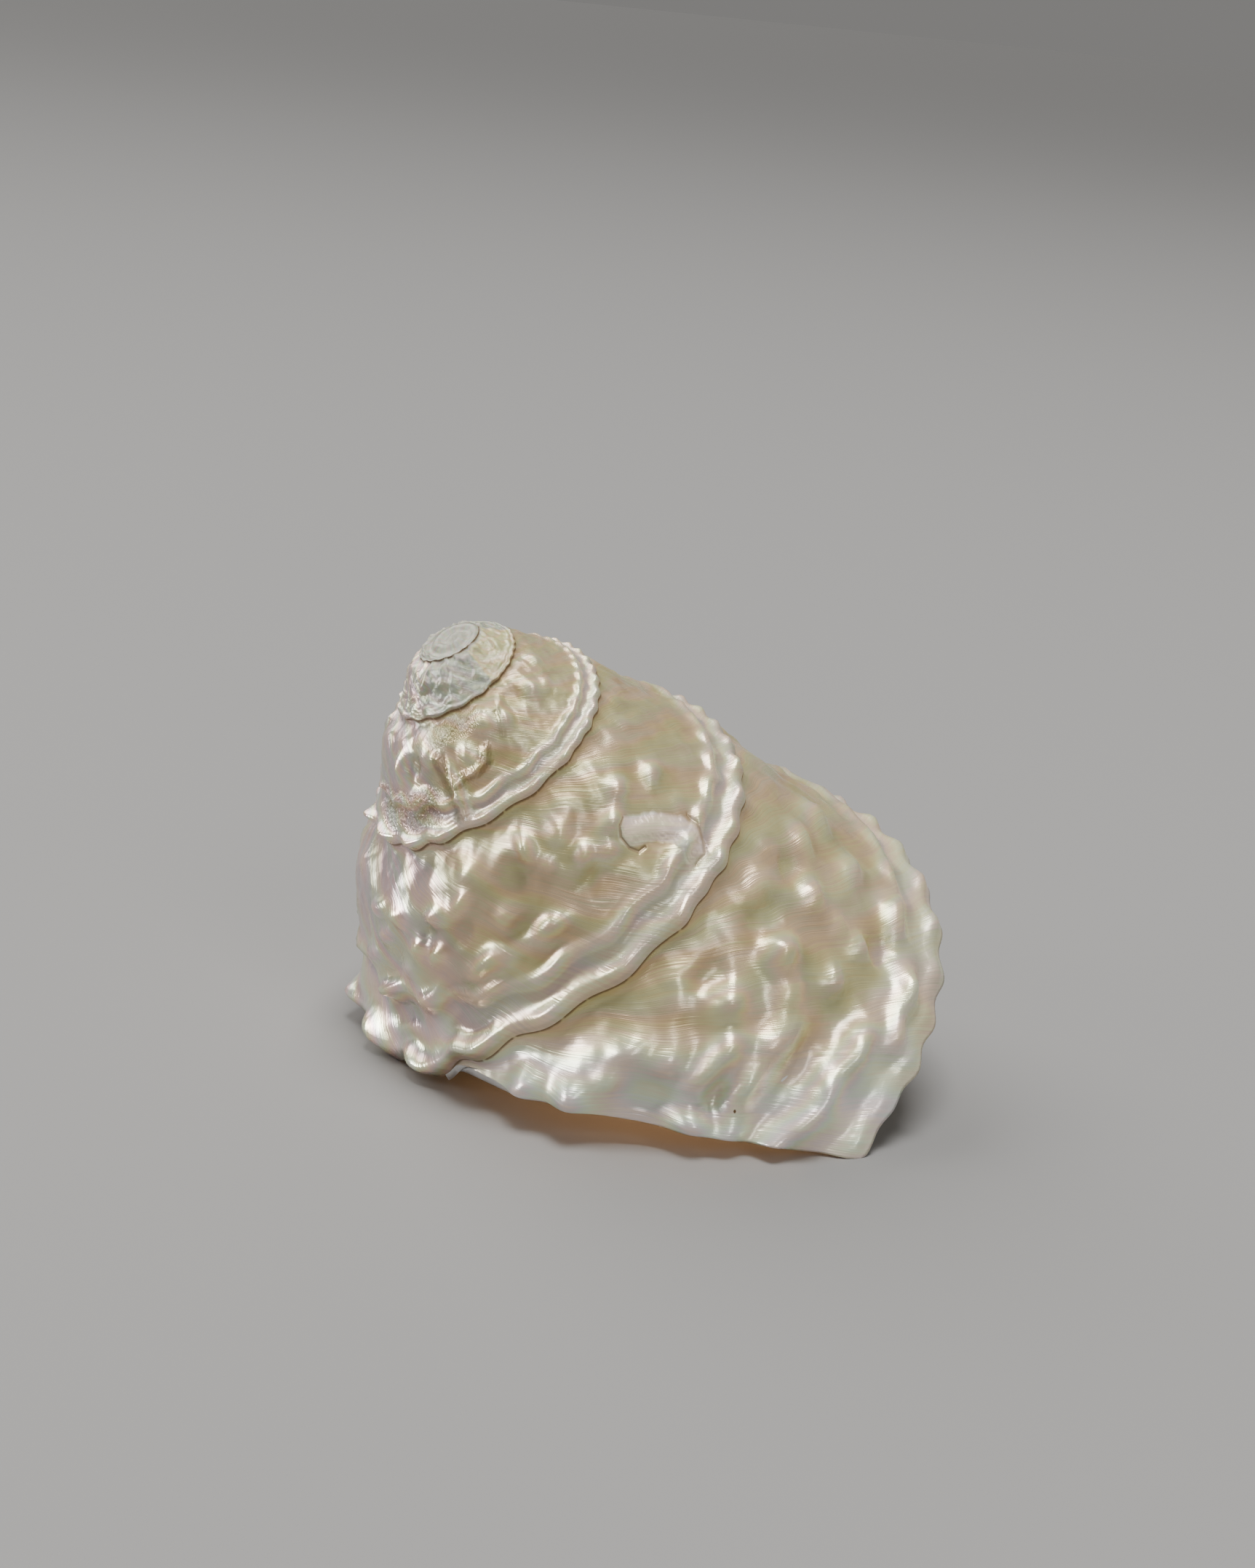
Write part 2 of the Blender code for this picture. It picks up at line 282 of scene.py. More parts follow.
# The waves of the keel, and the knobs at the left that hang below it. A drift has its size, its
# speed round the axis and its start.
WAVES = 18
KEEL_WAVE = 0.013
WAVE_OUT, WAVE_UP = 0.8, 0.6
DOUBLED_FROM, DOUBLED_TO, DOUBLED_SIZE = 0.5, 0.95, 0.75
DRIFTS = ((0.030, 2.3, 0.0), (0.022, 5.1, 1.0))
LEFT_KNOBS = math.radians(-277)
LEFT_KNOBS_REACH = math.radians(24)
LEFT_KNOBS_DROP = 0.140
LEFT_KNOBS_GAP = 0.26
YOUNGER_KNOBS = 0.45

# How far the face stands out, from the suture (0) to the keel (1).
ROUND_FACE = ((0.0, 0.0), (0.03, -0.018), (0.07, -0.010), (0.12, 0.012), (0.19, 0.040),
              (0.27, 0.053), (0.46, 0.038), (0.64, 0.008), (0.77, -0.006), (0.84, 0.000),
              (0.90, -0.006), (0.96, 0.006), (1.0, 0.0))
FLAT_FACE = ((0.0, 0.0), (0.03, -0.020), (0.07, -0.026), (0.13, -0.024), (0.28, -0.026),
             (0.46, -0.026), (0.64, -0.018), (0.77, -0.012), (0.84, -0.002), (0.90, -0.010),
             (0.96, 0.004), (1.0, 0.0))


# %% The keel and the faces
@grouped
def keel(angle):
    """Radius and height of the keel at a growth angle, without waves."""
    share = exp(angle * GROWTH + angle * angle * GROWTH_BEND)
    drop = larger(share ** SPIRE_POWER * SPIRE_DROP, TIP_DROP)
    return share * KEEL_RADIUS, drop * -KEEL_RADIUS


def wander(angle):
    """Slow drift that keeps the knobs from standing at even steps."""
    first, second = (size * sin(angle * turns + start) for size, turns, start in DRIFTS)
    return first + second


def far_side(angle):
    """0 on the round side of the shell, 1 on the flat side across from it."""
    return 0.5 - 0.5 * cos(angle - ROUND_SIDE)


def wave(angle, shift=0.0):
    """The keel's wave from -1 to 1; on the flat side it doubles and gets smaller."""
    turned = (angle + wander(angle)) * WAVES + shift
    doubled = ease(far_side(angle), DOUBLED_FROM, DOUBLED_TO)
    return cos(turned) * (1.0 - doubled) + cos(turned * 2.0) * DOUBLED_SIZE * doubled


@grouped
def edge(angle):
    """The keel's edge with its waves, as radius and height."""
    radius, height = keel(angle)
    swing = wave(angle) * radius * KEEL_WAVE
    left = bell(angle, LEFT_KNOBS, LEFT_KNOBS_REACH)
    left = left + bell(angle, LEFT_KNOBS - math.tau, LEFT_KNOBS_REACH) * YOUNGER_KNOBS
    gap = 0.5 - 0.5 * wave(angle)
    hang = left * (1.0 - LEFT_KNOBS_GAP * gap * gap) * radius * LEFT_KNOBS_DROP
    return radius + WAVE_OUT * swing, height - WAVE_UP * swing - hang


def chord(angle):
    """Both ends of a face: the suture above it and the keel below it."""
    return edge(larger(angle - math.tau, TIP_ANGLE)), edge(angle)


@grouped
def smooth_stand(angle, share):
    """How far the smooth face stands out from a straight line, in keel radii."""
    round_face = along_curve(share, ROUND_FACE)
    flat_face = along_curve(share, FLAT_FACE)
    return round_face + (flat_face - round_face) * far_side(angle)


@grouped
def face_point(angle, share, stand):
    """A point of a face, as radius and height, standing out by so many keel radii."""
    (r0, z0), (r1, z1) = chord(angle)
    size = keel(angle)[0]
    run, drop = r1 - r0, z1 - z0
    length = larger((run * run + drop * drop) ** 0.5, NO_LENGTH)
    fit = smaller(length / (size * PROFILE_SIZE), 1.0)
    lift = stand * size * fit * fit / length
    return r0 + run * share - drop * lift, z0 + drop * share + run * lift


radius, height = edge(0.0)
print("the lip's corner is", round(radius * 1000, 1), "mm from the axis and",
      round(-height * 1000, 1), "mm below the tip")

# %% [markdown]
# ## Winding the skin with Geometry Nodes
#
# A flat grid of points is bent into the whole outer skin. Along one side of the grid runs the
# growth angle, from the worn tip to the end of the lip, and across it the share from the suture
# to the keel. A Set Position node sends each point to where the rule wants it. Two more grids
# make the underside and the worn tip in the same way. The seams of neighbouring whorls are points
# at the same place, which Merge by Distance joins into one skin. A profile swept along a curve
# would be quicker to set up, but it can't end at a slanting lip, and it knows no growth angle that
# bumps and colours could follow.
#
# The lip comes first. Growth stopped along one slanting plane, so each line of the face ends
# where it meets that plane. The nodes find the place in a few rounds of coming closer.

# %% The lip, where growth has stopped
LIP_REACH = math.radians(75)
LIP_PLANE = (-0.050, 0.685, 0.727)
LIP_LEAST = 0.10
LIP_ROUNDS = 3
NO_FALL = 1e-5
TINY = 1e-4


@grouped
def over_lip(angle, radius, height):
    """Height of a point above the plane in which the thin lip lies."""
    (corner_radius, corner_height), (a, b, c) = edge(0.0), LIP_PLANE
    rest = a * corner_radius + c * corner_height
    return cos(angle) * radius * a - sin(angle) * radius * b + height * c - rest


def lip_reach(angle):
    """Share of the face at which the lip ends it; 1 before the lip starts."""
    suture, rim = chord(angle)
    top = over_lip(angle, *suture)
    fall = larger(top - over_lip(angle, *rim), NO_FALL)
    share = smaller(larger(top / fall, 0.0), 1.0)
    for _ in range(LIP_ROUNDS):
        point = face_point(angle, share, smooth_stand(angle, share))
        share = smaller(larger(share + over_lip(angle, *point) / fall, 0.0), 1.0)
    share = larger(share, (1.0 - angle / LIP_REACH) * LIP_LEAST)
    grown = angle.math("GREATER_THAN", TINY)
    return 1.0 + (share - 1.0) * grown


print("the lip runs on for", round(math.degrees(LIP_REACH)), "degrees past its corner")

# %% [markdown]
# ## Bumps and dents, one by one
#
# The real shell is dented and knobbly, and no two of its bumps are alike. Noise gives bumps that
# look right from far away, but never the ones that the photograph shows. So the larger bumps
# that can be seen are listed one by one, as on a map: growth angle in degrees, share of the face,
# half its length in degrees, half its width in share, and height, which is negative for a dent.
# Each is a smooth mound that leans along the lines of growth. Noise fills in the sides that
# can't be seen.

# %% Bumps and dents that the photograph shows
# On the last whorl, from the left to the lip.
LAST_BUMPS = (
    (-31, 0.37, 4.0, 0.050, 1.0), (-13, 0.34, 4.2, 0.055, 1.5), (4, 0.29, 4.0, 0.050, 1.3),
    (-30, 0.51, 3.0, 0.035, 0.6), (-29, 0.61, 3.2, 0.040, 0.7), (-19, 0.57, 3.0, 0.035, 0.7),
    (-8, 0.45, 4.0, 0.045, 0.9), (-5, 0.54, 3.2, 0.040, 0.7), (8, 0.41, 3.5, 0.050, 1.0),
    (10, 0.54, 4.5, 0.050, 1.4), (1, 0.50, 4.0, 0.045, 1.1), (14, 0.41, 5.5, 0.040, 1.2),
    (22, 0.52, 3.0, 0.055, 1.2), (21, 0.30, 3.0, 0.040, 0.7), (27, 0.22, 3.5, 0.040, 0.6),
    (33, 0.26, 3.0, 0.040, 0.8), (41, 0.23, 3.2, 0.060, 1.1), (-11, 0.76, 5.5, 0.045, 1.5),
    (-2, 0.73, 3.0, 0.045, 1.0), (5, 0.77, 5.5, 0.045, 1.4), (13, 0.75, 3.0, 0.040, 0.9),
    (-29, 0.84, 4.5, 0.045, 1.2), (-44, 0.30, 4.5, 0.050, 0.7), (-47, 0.55, 5.0, 0.050, 0.8),
    (-20, 0.86, 4.0, 0.040, 0.9), (-42, 0.74, 5.0, 0.050, 0.9), (-58, 0.42, 5.0, 0.060, 0.8),
    (-21, 0.18, 4.0, 0.050, 0.5), (50, 0.15, 3.5, 0.040, 0.7), (17, 0.62, 4.0, 0.040, 0.8),
    (-34, 0.26, 3.4, 0.040, -0.8), (-17, 0.22, 3.6, 0.045, -1.1), (3, 0.19, 4.0, 0.040, -0.7),
    (-15, 0.64, 3.6, 0.040, -0.9), (-1, 0.63, 3.6, 0.040, -0.9), (15, 0.50, 3.5, 0.035, -0.9),
    (-33, 0.72, 3.6, 0.045, -0.9), (27, 0.38, 4.0, 0.050, -0.7))

# On the middle whorl.
MIDDLE_BUMPS = (
    (-257, 0.90, 4.0, 0.044, 1.5), (-277, 0.95, 4.2, 0.040, 1.5), (-294, 0.93, 6.0, 0.040, 1.3),
    (-240, 0.92, 4.6, 0.050, 0.7), (-268, 0.66, 4.5, 0.045, 1.2), (-283, 0.66, 4.0, 0.040, 0.9),
    (-329, 0.22, 2.6, 0.060, 1.3), (-334, 0.33, 2.4, 0.035, 0.7), (-353, 0.47, 3.5, 0.045, 1.1),
    (-346, 0.40, 3.2, 0.040, 0.8), (-359, 0.37, 5.0, 0.045, 1.3), (-369, 0.30, 4.5, 0.050, 1.0),
    (-308, 0.62, 6.0, 0.045, 1.5), (-328, 0.60, 4.5, 0.040, 1.1), (-292, 0.32, 4.2, 0.042, 1.2),
    (-303, 0.30, 3.8, 0.038, 0.8), (-283, 0.42, 3.8, 0.040, 1.0), (-275, 0.30, 3.8, 0.036, 1.1),
    (-268, 0.40, 3.8, 0.040, 0.9), (-290, 0.50, 3.2, 0.040, 0.9), (-266, 0.27, 4.0, 0.036, 1.0),
    (-277, 0.53, 3.0, 0.045, 0.8), (-260, 0.52, 3.5, 0.050, 0.9), (-317, 0.45, 4.0, 0.045, 0.6),
    (-341, 0.24, 4.0, 0.050, 0.6), (-385, 0.42, 5.0, 0.050, 0.8), (-300, 0.42, 3.2, 0.040, -0.9),
    (-287, 0.38, 2.4, 0.040, -0.8), (-320, 0.52, 4.0, 0.040, -0.7), (-322, 0.30, 4.5, 0.060, -0.7),
    (-343, 0.50, 4.0, 0.035, -0.6), (-269, 0.77, 4.5, 0.034, -1.2), (-297, 0.84, 5.0, 0.030, -1.1),
    (-291, 0.66, 8.0, 0.020, -0.7))

# On the small whorl below the worn tip.
FIRST_BUMPS = (
    (-617, 0.92, 5.5, 0.055, 1.1), (-637, 0.94, 5.5, 0.055, 1.0), (-652, 0.93, 5.0, 0.055, 0.8),
    (-600, 0.93, 5.5, 0.055, 1.0), (-633, 0.40, 5.0, 0.120, 1.6), (-652, 0.30, 5.0, 0.080, 0.8),
    (-645, 0.62, 5.5, 0.060, 0.9), (-632, 0.66, 5.0, 0.060, 0.9), (-694, 0.22, 6.0, 0.100, 1.2),
    (-707, 0.33, 4.0, 0.080, 1.0), (-735, 0.32, 5.0, 0.080, 1.1), (-745, 0.42, 5.0, 0.060, 0.7),
    (-668, 0.66, 2.4, 0.200, 1.4), (-678, 0.42, 4.5, 0.100, 1.0), (-760, 0.25, 6.0, 0.090, 0.9),
    (-641, 0.36, 3.0, 0.060, -1.2), (-655, 0.50, 5.0, 0.070, -0.7), (-692, 0.60, 4.0, 0.050, -0.5),
    (-718, 0.22, 6.0, 0.080, -0.6))
DENT_SLANT = 6.0
BUMP_SPREAD = 1.15


@grouped
def one_bump(total, angle, share, degrees, place, reach, width, height):
    """Adds one bump, of half sizes reach in degrees and width in share, to the total."""
    across = share - place
    along = (angle * math.degrees(1.0) - degrees + across * DENT_SLANT) / (reach * BUMP_SPREAD)
    across = across / (width * BUMP_SPREAD)
    return exp((along * along + across * across) * -1.0) * height + total


def placed_bumps(angle, share, listed):
    """Bumps and dents at known places."""
    total = 0.0
    for bump in listed:
        total = one_bump(total, angle, share, *(float(value) for value in bump))
    return total


ALL_BUMPS = (*LAST_BUMPS, *MIDDLE_BUMPS, *FIRST_BUMPS)
print(len(ALL_BUMPS), "bumps and dents are placed by hand,",
      sum(bump[-1] < 0 for bump in ALL_BUMPS), "of them dents")

# %% [markdown]
# ## Knobs, carinas and folds
#
# Over the mounds lies what the whole shell has. Two rows of knobs, the carinas, run along the
# keel with a groove between them. Soft folds lie across each face, a low shoulder runs under the
# suture, and small knobs cover the worn tip. Each of these is a bell across the share, times a
# wave or noise along the growth angle. Added up, they say how far the skin stands out.

# %% Rows of knobs
# Places and widths are shares of the face; the last whorl grows between two angles in radians.
LOWER_ROW, UPPER_ROW = 0.935, 0.765
ROW_WIDTH = 0.034
LEFT_ROW, LEFT_ROW_WIDTH = 0.905, 0.060
LEFT_CLIMB, CLIMB_SIDE = 0.125, (0.03, 0.30)
GROOVE_BELOW, GROOVE_WIDTH = 0.080, 0.040
LAST_GROWS = (-1.2, -0.3)


def carina_row(angle):
    """Share at which the upper carina runs; on the left it climbs the face."""
    return UPPER_ROW - LEFT_CLIMB * (1.0 - ease(far_side(angle), *CLIMB_SIDE))


def knob_rows(named, angle, share, drift, uneven):
    """Both rows of knobs, less the groove between them."""
    crest = 0.5 + 0.5 * wave(angle + drift * 0.02)
    left = bell(angle, LEFT_KNOBS, LEFT_KNOBS_REACH)
    early = 1.0 - ease(angle, *LAST_GROWS)
    height = 0.35 + crest * crest * uneven
    height = height * named["Knob height"] * (1.0 - left * 0.7)
    lower = bell(share, LOWER_ROW, ROW_WIDTH) * height * (0.45 + 0.55 * early)
    hanging = bell(share, LEFT_ROW, LEFT_ROW_WIDTH) * left * crest * crest
    lower = lower + hanging * named["Left knob height"]
    upper_crest = 0.5 + 0.5 * wave(angle, 1.9)
    row = carina_row(angle) + 0.007 * wave(angle, 1.0) + drift * 0.012
    upper_height = (0.55 + upper_crest * uneven) * named["Upper knob height"]
    upper = bell(share, row, ROW_WIDTH) * upper_height * (0.25 + 0.75 * early)
    groove = bell(share, row + GROOVE_BELOW, GROOVE_WIDTH) * named["Groove depth"]
    return lower + upper - groove * early * (1.0 - left * 0.85)


print("the upper carina climbs from share", UPPER_ROW, "to", round(carina_row(ROUND_SIDE), 3))

# %% Folds, and all of it added up
SHOULDER, SHOULDER_WIDTH = 0.17, 0.07
FOLD_SLANT = 0.30
TIP_WORN = math.radians(-1000)
TIP_WORN_FADE = 0.8
LIP_SMOOTH = (1.05, 1.28)
DEEPEST = -0.016


def soft_folds(bench, named, angle, share, drift):
    """Folds, shoulder and slow swell in the middle of the face."""
    seed, slant = named["Seed"], angle + share * FOLD_SLANT
    fold_noise = noise(bench, slant * 5.0, share * 6.0, seed + 11.0, 1.5)
    unseen = ease(sin(angle - ROUND_SIDE), 0.0, 0.6) * named["Unseen folds"]
    folds = ease(fold_noise, -0.10, 0.60) * (named["Fold height"] + unseen)
    shoulder = bell(share, SHOULDER + drift * 0.03, SHOULDER_WIDTH) * (0.5 + 0.5 * wave(angle, 2.4))
    left = bell(angle, LEFT_KNOBS, LEFT_KNOBS_REACH)
    shoulder = shoulder * (1.0 - far_side(angle) * 0.6) * (1.0 - left * 0.6)
    swell = noise(bench, angle * 1.9, share * 2.2, seed + 23.0) * named["Swell height"]
    middle = ease(share, 0.02, 0.10) * (1.0 - ease(share, 0.74, 0.88))
    return middle * (folds + shoulder * named["Shoulder height"] + swell)


def relief(bench, named, angle, share):
    """How far knobs, folds and bumps stand out of the smooth face, in keel radii."""
    seed = named["Seed"]
    drift = noise(bench, angle * 1.3, share * 1.1, seed + 3.0)
    uneven = 0.80 + 0.60 * noise(bench, angle * 2.6, 0.0, seed + 7.0)
    worn = 1.0 - ease(angle, TIP_WORN, TIP_WORN + TIP_WORN_FADE)
    nodules = ease(noise(bench, angle * 3.4, share * 2.8, seed + 29.0, 0.5), -0.1, 0.6) * worn
    slant = angle + share * FOLD_SLANT
    small = noise(bench, slant * 13.0, share * 11.0, seed + 17.0, 1.5)
    small = small * (1.0 + ease(cos(angle - ROUND_SIDE), 0.45, 0.90) * 0.9)
    total = knob_rows(named, angle, share, drift, uneven) * (1.0 - worn)
    total = total + nodules * named["Tip nodules"] + small * named["Bump height"]
    total = total + soft_folds(bench, named, angle, share, drift)
    total = total + placed_bumps(angle, share, ALL_BUMPS) * named["Seen bumps"]
    ends = ease(share, 0.0, 0.03) * (1.0 - ease(share, 0.975, 1.0))
    return larger(total * ends * (1.0 - ease(angle, *LIP_SMOOTH)), DEEPEST)


print("no dent is deeper than", round(-DEEPEST * KEEL_RADIUS * 1000, 1), "mm")

# %% [markdown]
# ## The underside
#
# The underside can't be seen in the photograph, so it follows other shells of this kind. It
# slopes from the keel to the foot of the columella, the pillar round which the shell is wound.
# Where the mouth is, it becomes the wall beside the columella instead. A cubic curve for each
# growth angle makes both, and its two middle points blend from the one to the other.

# %% The underside
FOOT_DROP = 1.630
FOOT_ASIDE = (-0.10, 0.12)
BASE_BULGE = 0.030
BASAL_HOLLOW = 0.085
BASAL_FADE = math.radians(34)
PARIETAL_FADE = math.radians(75)
COLUMELLA = 0.10
COLUMN_TOP, COLUMN_MIDDLE = 0.40, 0.45
WALL_START = LIP_REACH - math.tau
THIRDS = (1 / 3, 2 / 3)


def slope_blend(angle):
    """0 where the underside is the wall of the mouth, 1 where it slopes to the foot."""
    return ease(angle, WALL_START, WALL_START + PARIETAL_FADE)


def base_bulge(angle):
    """How far the underside bulges down; beside the mouth it is drawn up."""
    return BASE_BULGE - bell(angle, 0.0, BASAL_FADE) * BASAL_HOLLOW


def bezier(points, share):
    """A point of a cubic curve, as radius and height."""
    rest = 1.0 - share
    weights = (rest ** 3, rest ** 2 * share * 3.0, rest * share ** 2 * 3.0, share ** 3)
    radii = [weight * point[0] for weight, point in zip(weights, points)]
    heights = [weight * point[1] for weight, point in zip(weights, points)]
    return (radii[0] + radii[1] + radii[2] + radii[3],
            heights[0] + heights[1] + heights[2] + heights[3])


def base_point(angle, share):
    """A point of the underside, from the keel (0) to the foot (1)."""
    rim, (smooth_radius, smooth_height) = edge(angle), keel(angle)
    foot = -FOOT_DROP * KEEL_RADIUS
    bulge = base_bulge(angle) * rim[0]
    column = COLUMELLA * KEEL_RADIUS
    walls = ((column, smooth_height + COLUMN_TOP * column),
             (column, smooth_height * COLUMN_MIDDLE + (1.0 - COLUMN_MIDDLE) * foot))
    inner, blend = [], slope_blend(angle)
    for part, (wall_radius, wall_height) in zip(THIRDS, walls):
        slope_radius = smooth_radius * (1.0 - part)
        slope_height = smooth_height + (foot - smooth_height) * part - bulge
        inner.append((wall_radius + (slope_radius - wall_radius) * blend,
                      wall_height + (slope_height - wall_height) * blend))
    return bezier((rim, *inner, (0.0, foot)), share)


print("the foot is", round(FOOT_DROP * KEEL_RADIUS * 1000, 1), "mm below the tip")

# %% [markdown]
# ## Three grids
#
# Face, underside and worn tip each start as a flat grid. Before a grid is bent, its points keep
# where they are on the shell, as a UV map: turns of growth, and a second number that says which
# part they belong to. That is below 0 on the worn tip, 0 to 1 on the face, 1 to 2 on the underside
# and 3 to 4 in the hollow. The finish is drawn with these coordinates later.

# %% Grids with kept coordinates
WHORL_MAP = "whorl"
RAISED = "raised"
ROW_SPACING = ((0.0, 0.0), (0.10, 0.045), (0.60, 0.66), (0.84, 0.89), (1.0, 1.0))


def placed(bench, angle, radius, height):
    """A point in space; growth turns clockwise seen from the tip."""
    return bench.node("ShaderNodeCombineXYZ", {},
                      {0: cos(angle) * radius, 1: sin(angle) * radius * -1.0, 2: height})


def sheet(bench, columns, rows):
    """A flat grid, with its two coordinates from 0 to 1."""
    grid = bench.node("GeometryNodeMeshGrid", {}, {"Vertices X": columns, "Vertices Y": rows})
    split = bench.node("ShaderNodeSeparateXYZ", {}, {0: grid.other("UV Map")})
    return grid, split, split.other("Y")


def bent(bench, grid, position, angle, row):
    """The grid with its points put in place and its growth coordinates kept as a UV map."""
    pair = bench.node("ShaderNodeCombineXYZ", {}, {0: angle / math.tau, 1: row})
    kept = bench.node("GeometryNodeStoreNamedAttribute",
                      {"data_type": "FLOAT2", "domain": "CORNER"},
                      {"Geometry": grid, "Name": WHORL_MAP, "Value": pair})
    return bench.node("GeometryNodeSetPosition", {}, {"Geometry": kept, "Position": position})


print("each point keeps its place in", WHORL_MAP, "and its height in", RAISED)

# %% Face, underside and worn tip
FOOT_FADE = 0.75
TIP_SPIRAL_TURNS = 1.6
TIP_ROUGH_SCALE = 2.5
TIP_DOME = 0.004


def face_sheet(bench, named):
    """All whorls from the tip to the end of the lip."""
    turned = named["Columns per turn"] * (TURNS + LIP_REACH / math.tau) + 1.0
    grid, across, down = sheet(bench, turned, named["Face rows"])
    angle = TIP_ANGLE + across * (LIP_REACH - TIP_ANGLE)
    share = along_curve(down, ROW_SPACING) * lip_reach(angle)
    raised = relief(bench, named, angle, share)
    point = placed(bench, angle, *face_point(angle, share, smooth_stand(angle, share) + raised))
    marked = bench.node("GeometryNodeStoreNamedAttribute", {"data_type": "FLOAT", "domain": "POINT"},
                        {"Geometry": grid, "Name": RAISED, "Value": raised})
    return bent(bench, marked, point, angle, share)


def base_sheet(bench, named):
    """The underside, from the keel of the last whorl to the foot of the columella."""
    turned = named["Columns per turn"] * (-WALL_START / math.tau) + 1.0
    grid, across, down = sheet(bench, turned, named["Base rows"])
    angle = WALL_START * (1.0 - across)
    radius, height = base_point(angle, down)
    ends = ease(down, 0.0, 0.12) * (1.0 - ease(down, FOOT_FADE, 1.0))
    cords = cos(down * math.tau * named["Base cords"]) * named["Cord height"]
    unevenness = noise(bench, angle * 2.2, down * 2.5, named["Seed"] + 31.0, 1.5)
    lift = (cords + unevenness * named["Swell height"]) * ends * slope_blend(angle)
    shift = down * down * KEEL_RADIUS
    spot = placed(bench, angle, radius, height - lift * KEEL_RADIUS)
    aside = bench.node("ShaderNodeCombineXYZ", {},
                       {0: shift * FOOT_ASIDE[0], 1: shift * FOOT_ASIDE[1], 2: 0.0})
    point = bench.node("ShaderNodeVectorMath", {"operation": "ADD"}, {0: spot, 1: aside})
    return bent(bench, grid, point, angle, 1.0 + down)


def tip_sheet(bench, named):
    """The tip, worn to a flat disc on which the first turns still show as a low spiral."""
    grid, across, down = sheet(bench, named["Columns per turn"] + 1.0, named["Tip rows"])
    angle = TIP_ANGLE + across * math.tau
    radius, height = edge(TIP_ANGLE)
    inner = ease(down, 0.0, 0.2)
    spiral = cos(angle + down * math.tau * TIP_SPIRAL_TURNS) * inner * ease(1.0 - down, 0.0, 0.3)
    out = (1.0 - down) * TIP_ROUGH_SCALE
    rough = noise(bench, cos(angle) * out, sin(angle) * out, named["Seed"] + 41.0, 2.0) * inner
    lift = (spiral * 0.6 + rough * 0.5) * named["Tip relief"] + ease(down, 0.0, 0.5) * TIP_DOME
    point = placed(bench, angle, (1.0 - down) * radius, height + lift * KEEL_RADIUS)
    return bent(bench, grid, point, angle, down * -1.0)


print("the wall beside the mouth starts at", round(math.degrees(WALL_START)), "degrees")

# %% The tree itself, with its named inputs
# Heights are shares of the keel's radius. The merging distance is in metres.
SKIN_INPUTS = {"Columns per turn": 360, "Face rows": 49, "Base rows": 23, "Tip rows": 9,
               "Seed": 4.0, "Knob height": 0.030, "Upper knob height": 0.026,
               "Left knob height": 0.034, "Groove depth": 0.016, "Fold height": 0.010,
               "Unseen folds": 0.022, "Bump height": 0.0045, "Seen bumps": 0.046,
               "Shoulder height": 0.020, "Swell height": 0.010, "Tip nodules": 0.050,
               "Base cords": 4.0, "Cord height": 0.004, "Tip relief": 0.010}
SEAM = 0.00001


def skin_tree(material):
    """A node group that winds the shell's outer skin."""
    tree = bpy.data.node_groups.new("Coiled skin", "GeometryNodeTree")
    tree.interface.new_socket("Geometry", in_out="OUTPUT", socket_type="NodeSocketGeometry")
    for name, value in SKIN_INPUTS.items():
        kind = "NodeSocketInt" if isinstance(value, int) else "NodeSocketFloat"
        tree.interface.new_socket(name, in_out="INPUT", socket_type=kind).default_value = value
    bench = Bench(tree)
    entry = bench.node("NodeGroupInput")
    named = {name: entry.other(name) for name in SKIN_INPUTS}
    joined = bench.node("GeometryNodeJoinGeometry")
    for made in (face_sheet, base_sheet, tip_sheet):
        tree.links.new(made(bench, named).socket, joined.socket.node.inputs[0])
    merged = bench.node("GeometryNodeMergeByDistance", {}, {"Geometry": joined, "Distance": SEAM})
    smooth = bench.node("GeometryNodeSetShadeSmooth", {}, {"Geometry": merged})
    real = bench.node("GeometryNodeRealizeInstances", {}, {"Geometry": smooth})
    done = bench.node("GeometryNodeSetMaterial", {}, {"Geometry": real, "Material": material})
    out = tree.nodes.new("NodeGroupOutput")
    tree.links.new(done.socket, out.inputs[0])
    print("the tree has", len(tree.nodes), "nodes")
    return tree


# %% Grow the skin and keep it as a plain mesh
def grown(name, tree, values):
    """A plain mesh from a tree; inputs are set by their sockets' identifiers."""
    holder = bpy.data.objects.new(name, bpy.data.meshes.new(name))
    bpy.context.scene.collection.objects.link(holder)
    modifier = holder.modifiers.new("grow", "NODES")
    modifier.node_group = tree
    for item in tree.interface.items_tree:
        if item.in_out == "INPUT" and item.name in values:
            modifier[item.identifier] = values[item.name]
    found = holder.evaluated_get(bpy.context.evaluated_depsgraph_get())
    mesh = bpy.data.meshes.new_from_object(found)
    holder.modifiers.clear()
    empty, holder.data = holder.data, mesh
    bpy.data.meshes.remove(empty)
    print(name, "has", len(mesh.polygons), "faces")
    return holder


pearl = bpy.data.materials.new("mother_of_pearl")
shell = grown("pearl_turban", skin_tree(pearl), SKIN_INPUTS)

# %% [markdown]
# ## Winding the hollow
#
# The skin has one open edge left, the rim of the mouth: the lip, the edge of the base and the
# wall beside the columella. The inside starts from that loop of points. Each ring is the section
# of the hollow a little further back in the coil, so the same rule of growth shapes it. The last
# ring closes to a point a little more than one turn back, where nobody can see it. A Solidify
# modifier would be less work, but it would cut through the narrow coils, and it can't make the
# wide hollow that a shell has behind its thin lip.

# %% The rim of the mouth, in order
# How far round the foot of the columella lies, as a share of the lip's reach.
COLUMELLA_SHARE = 0.35


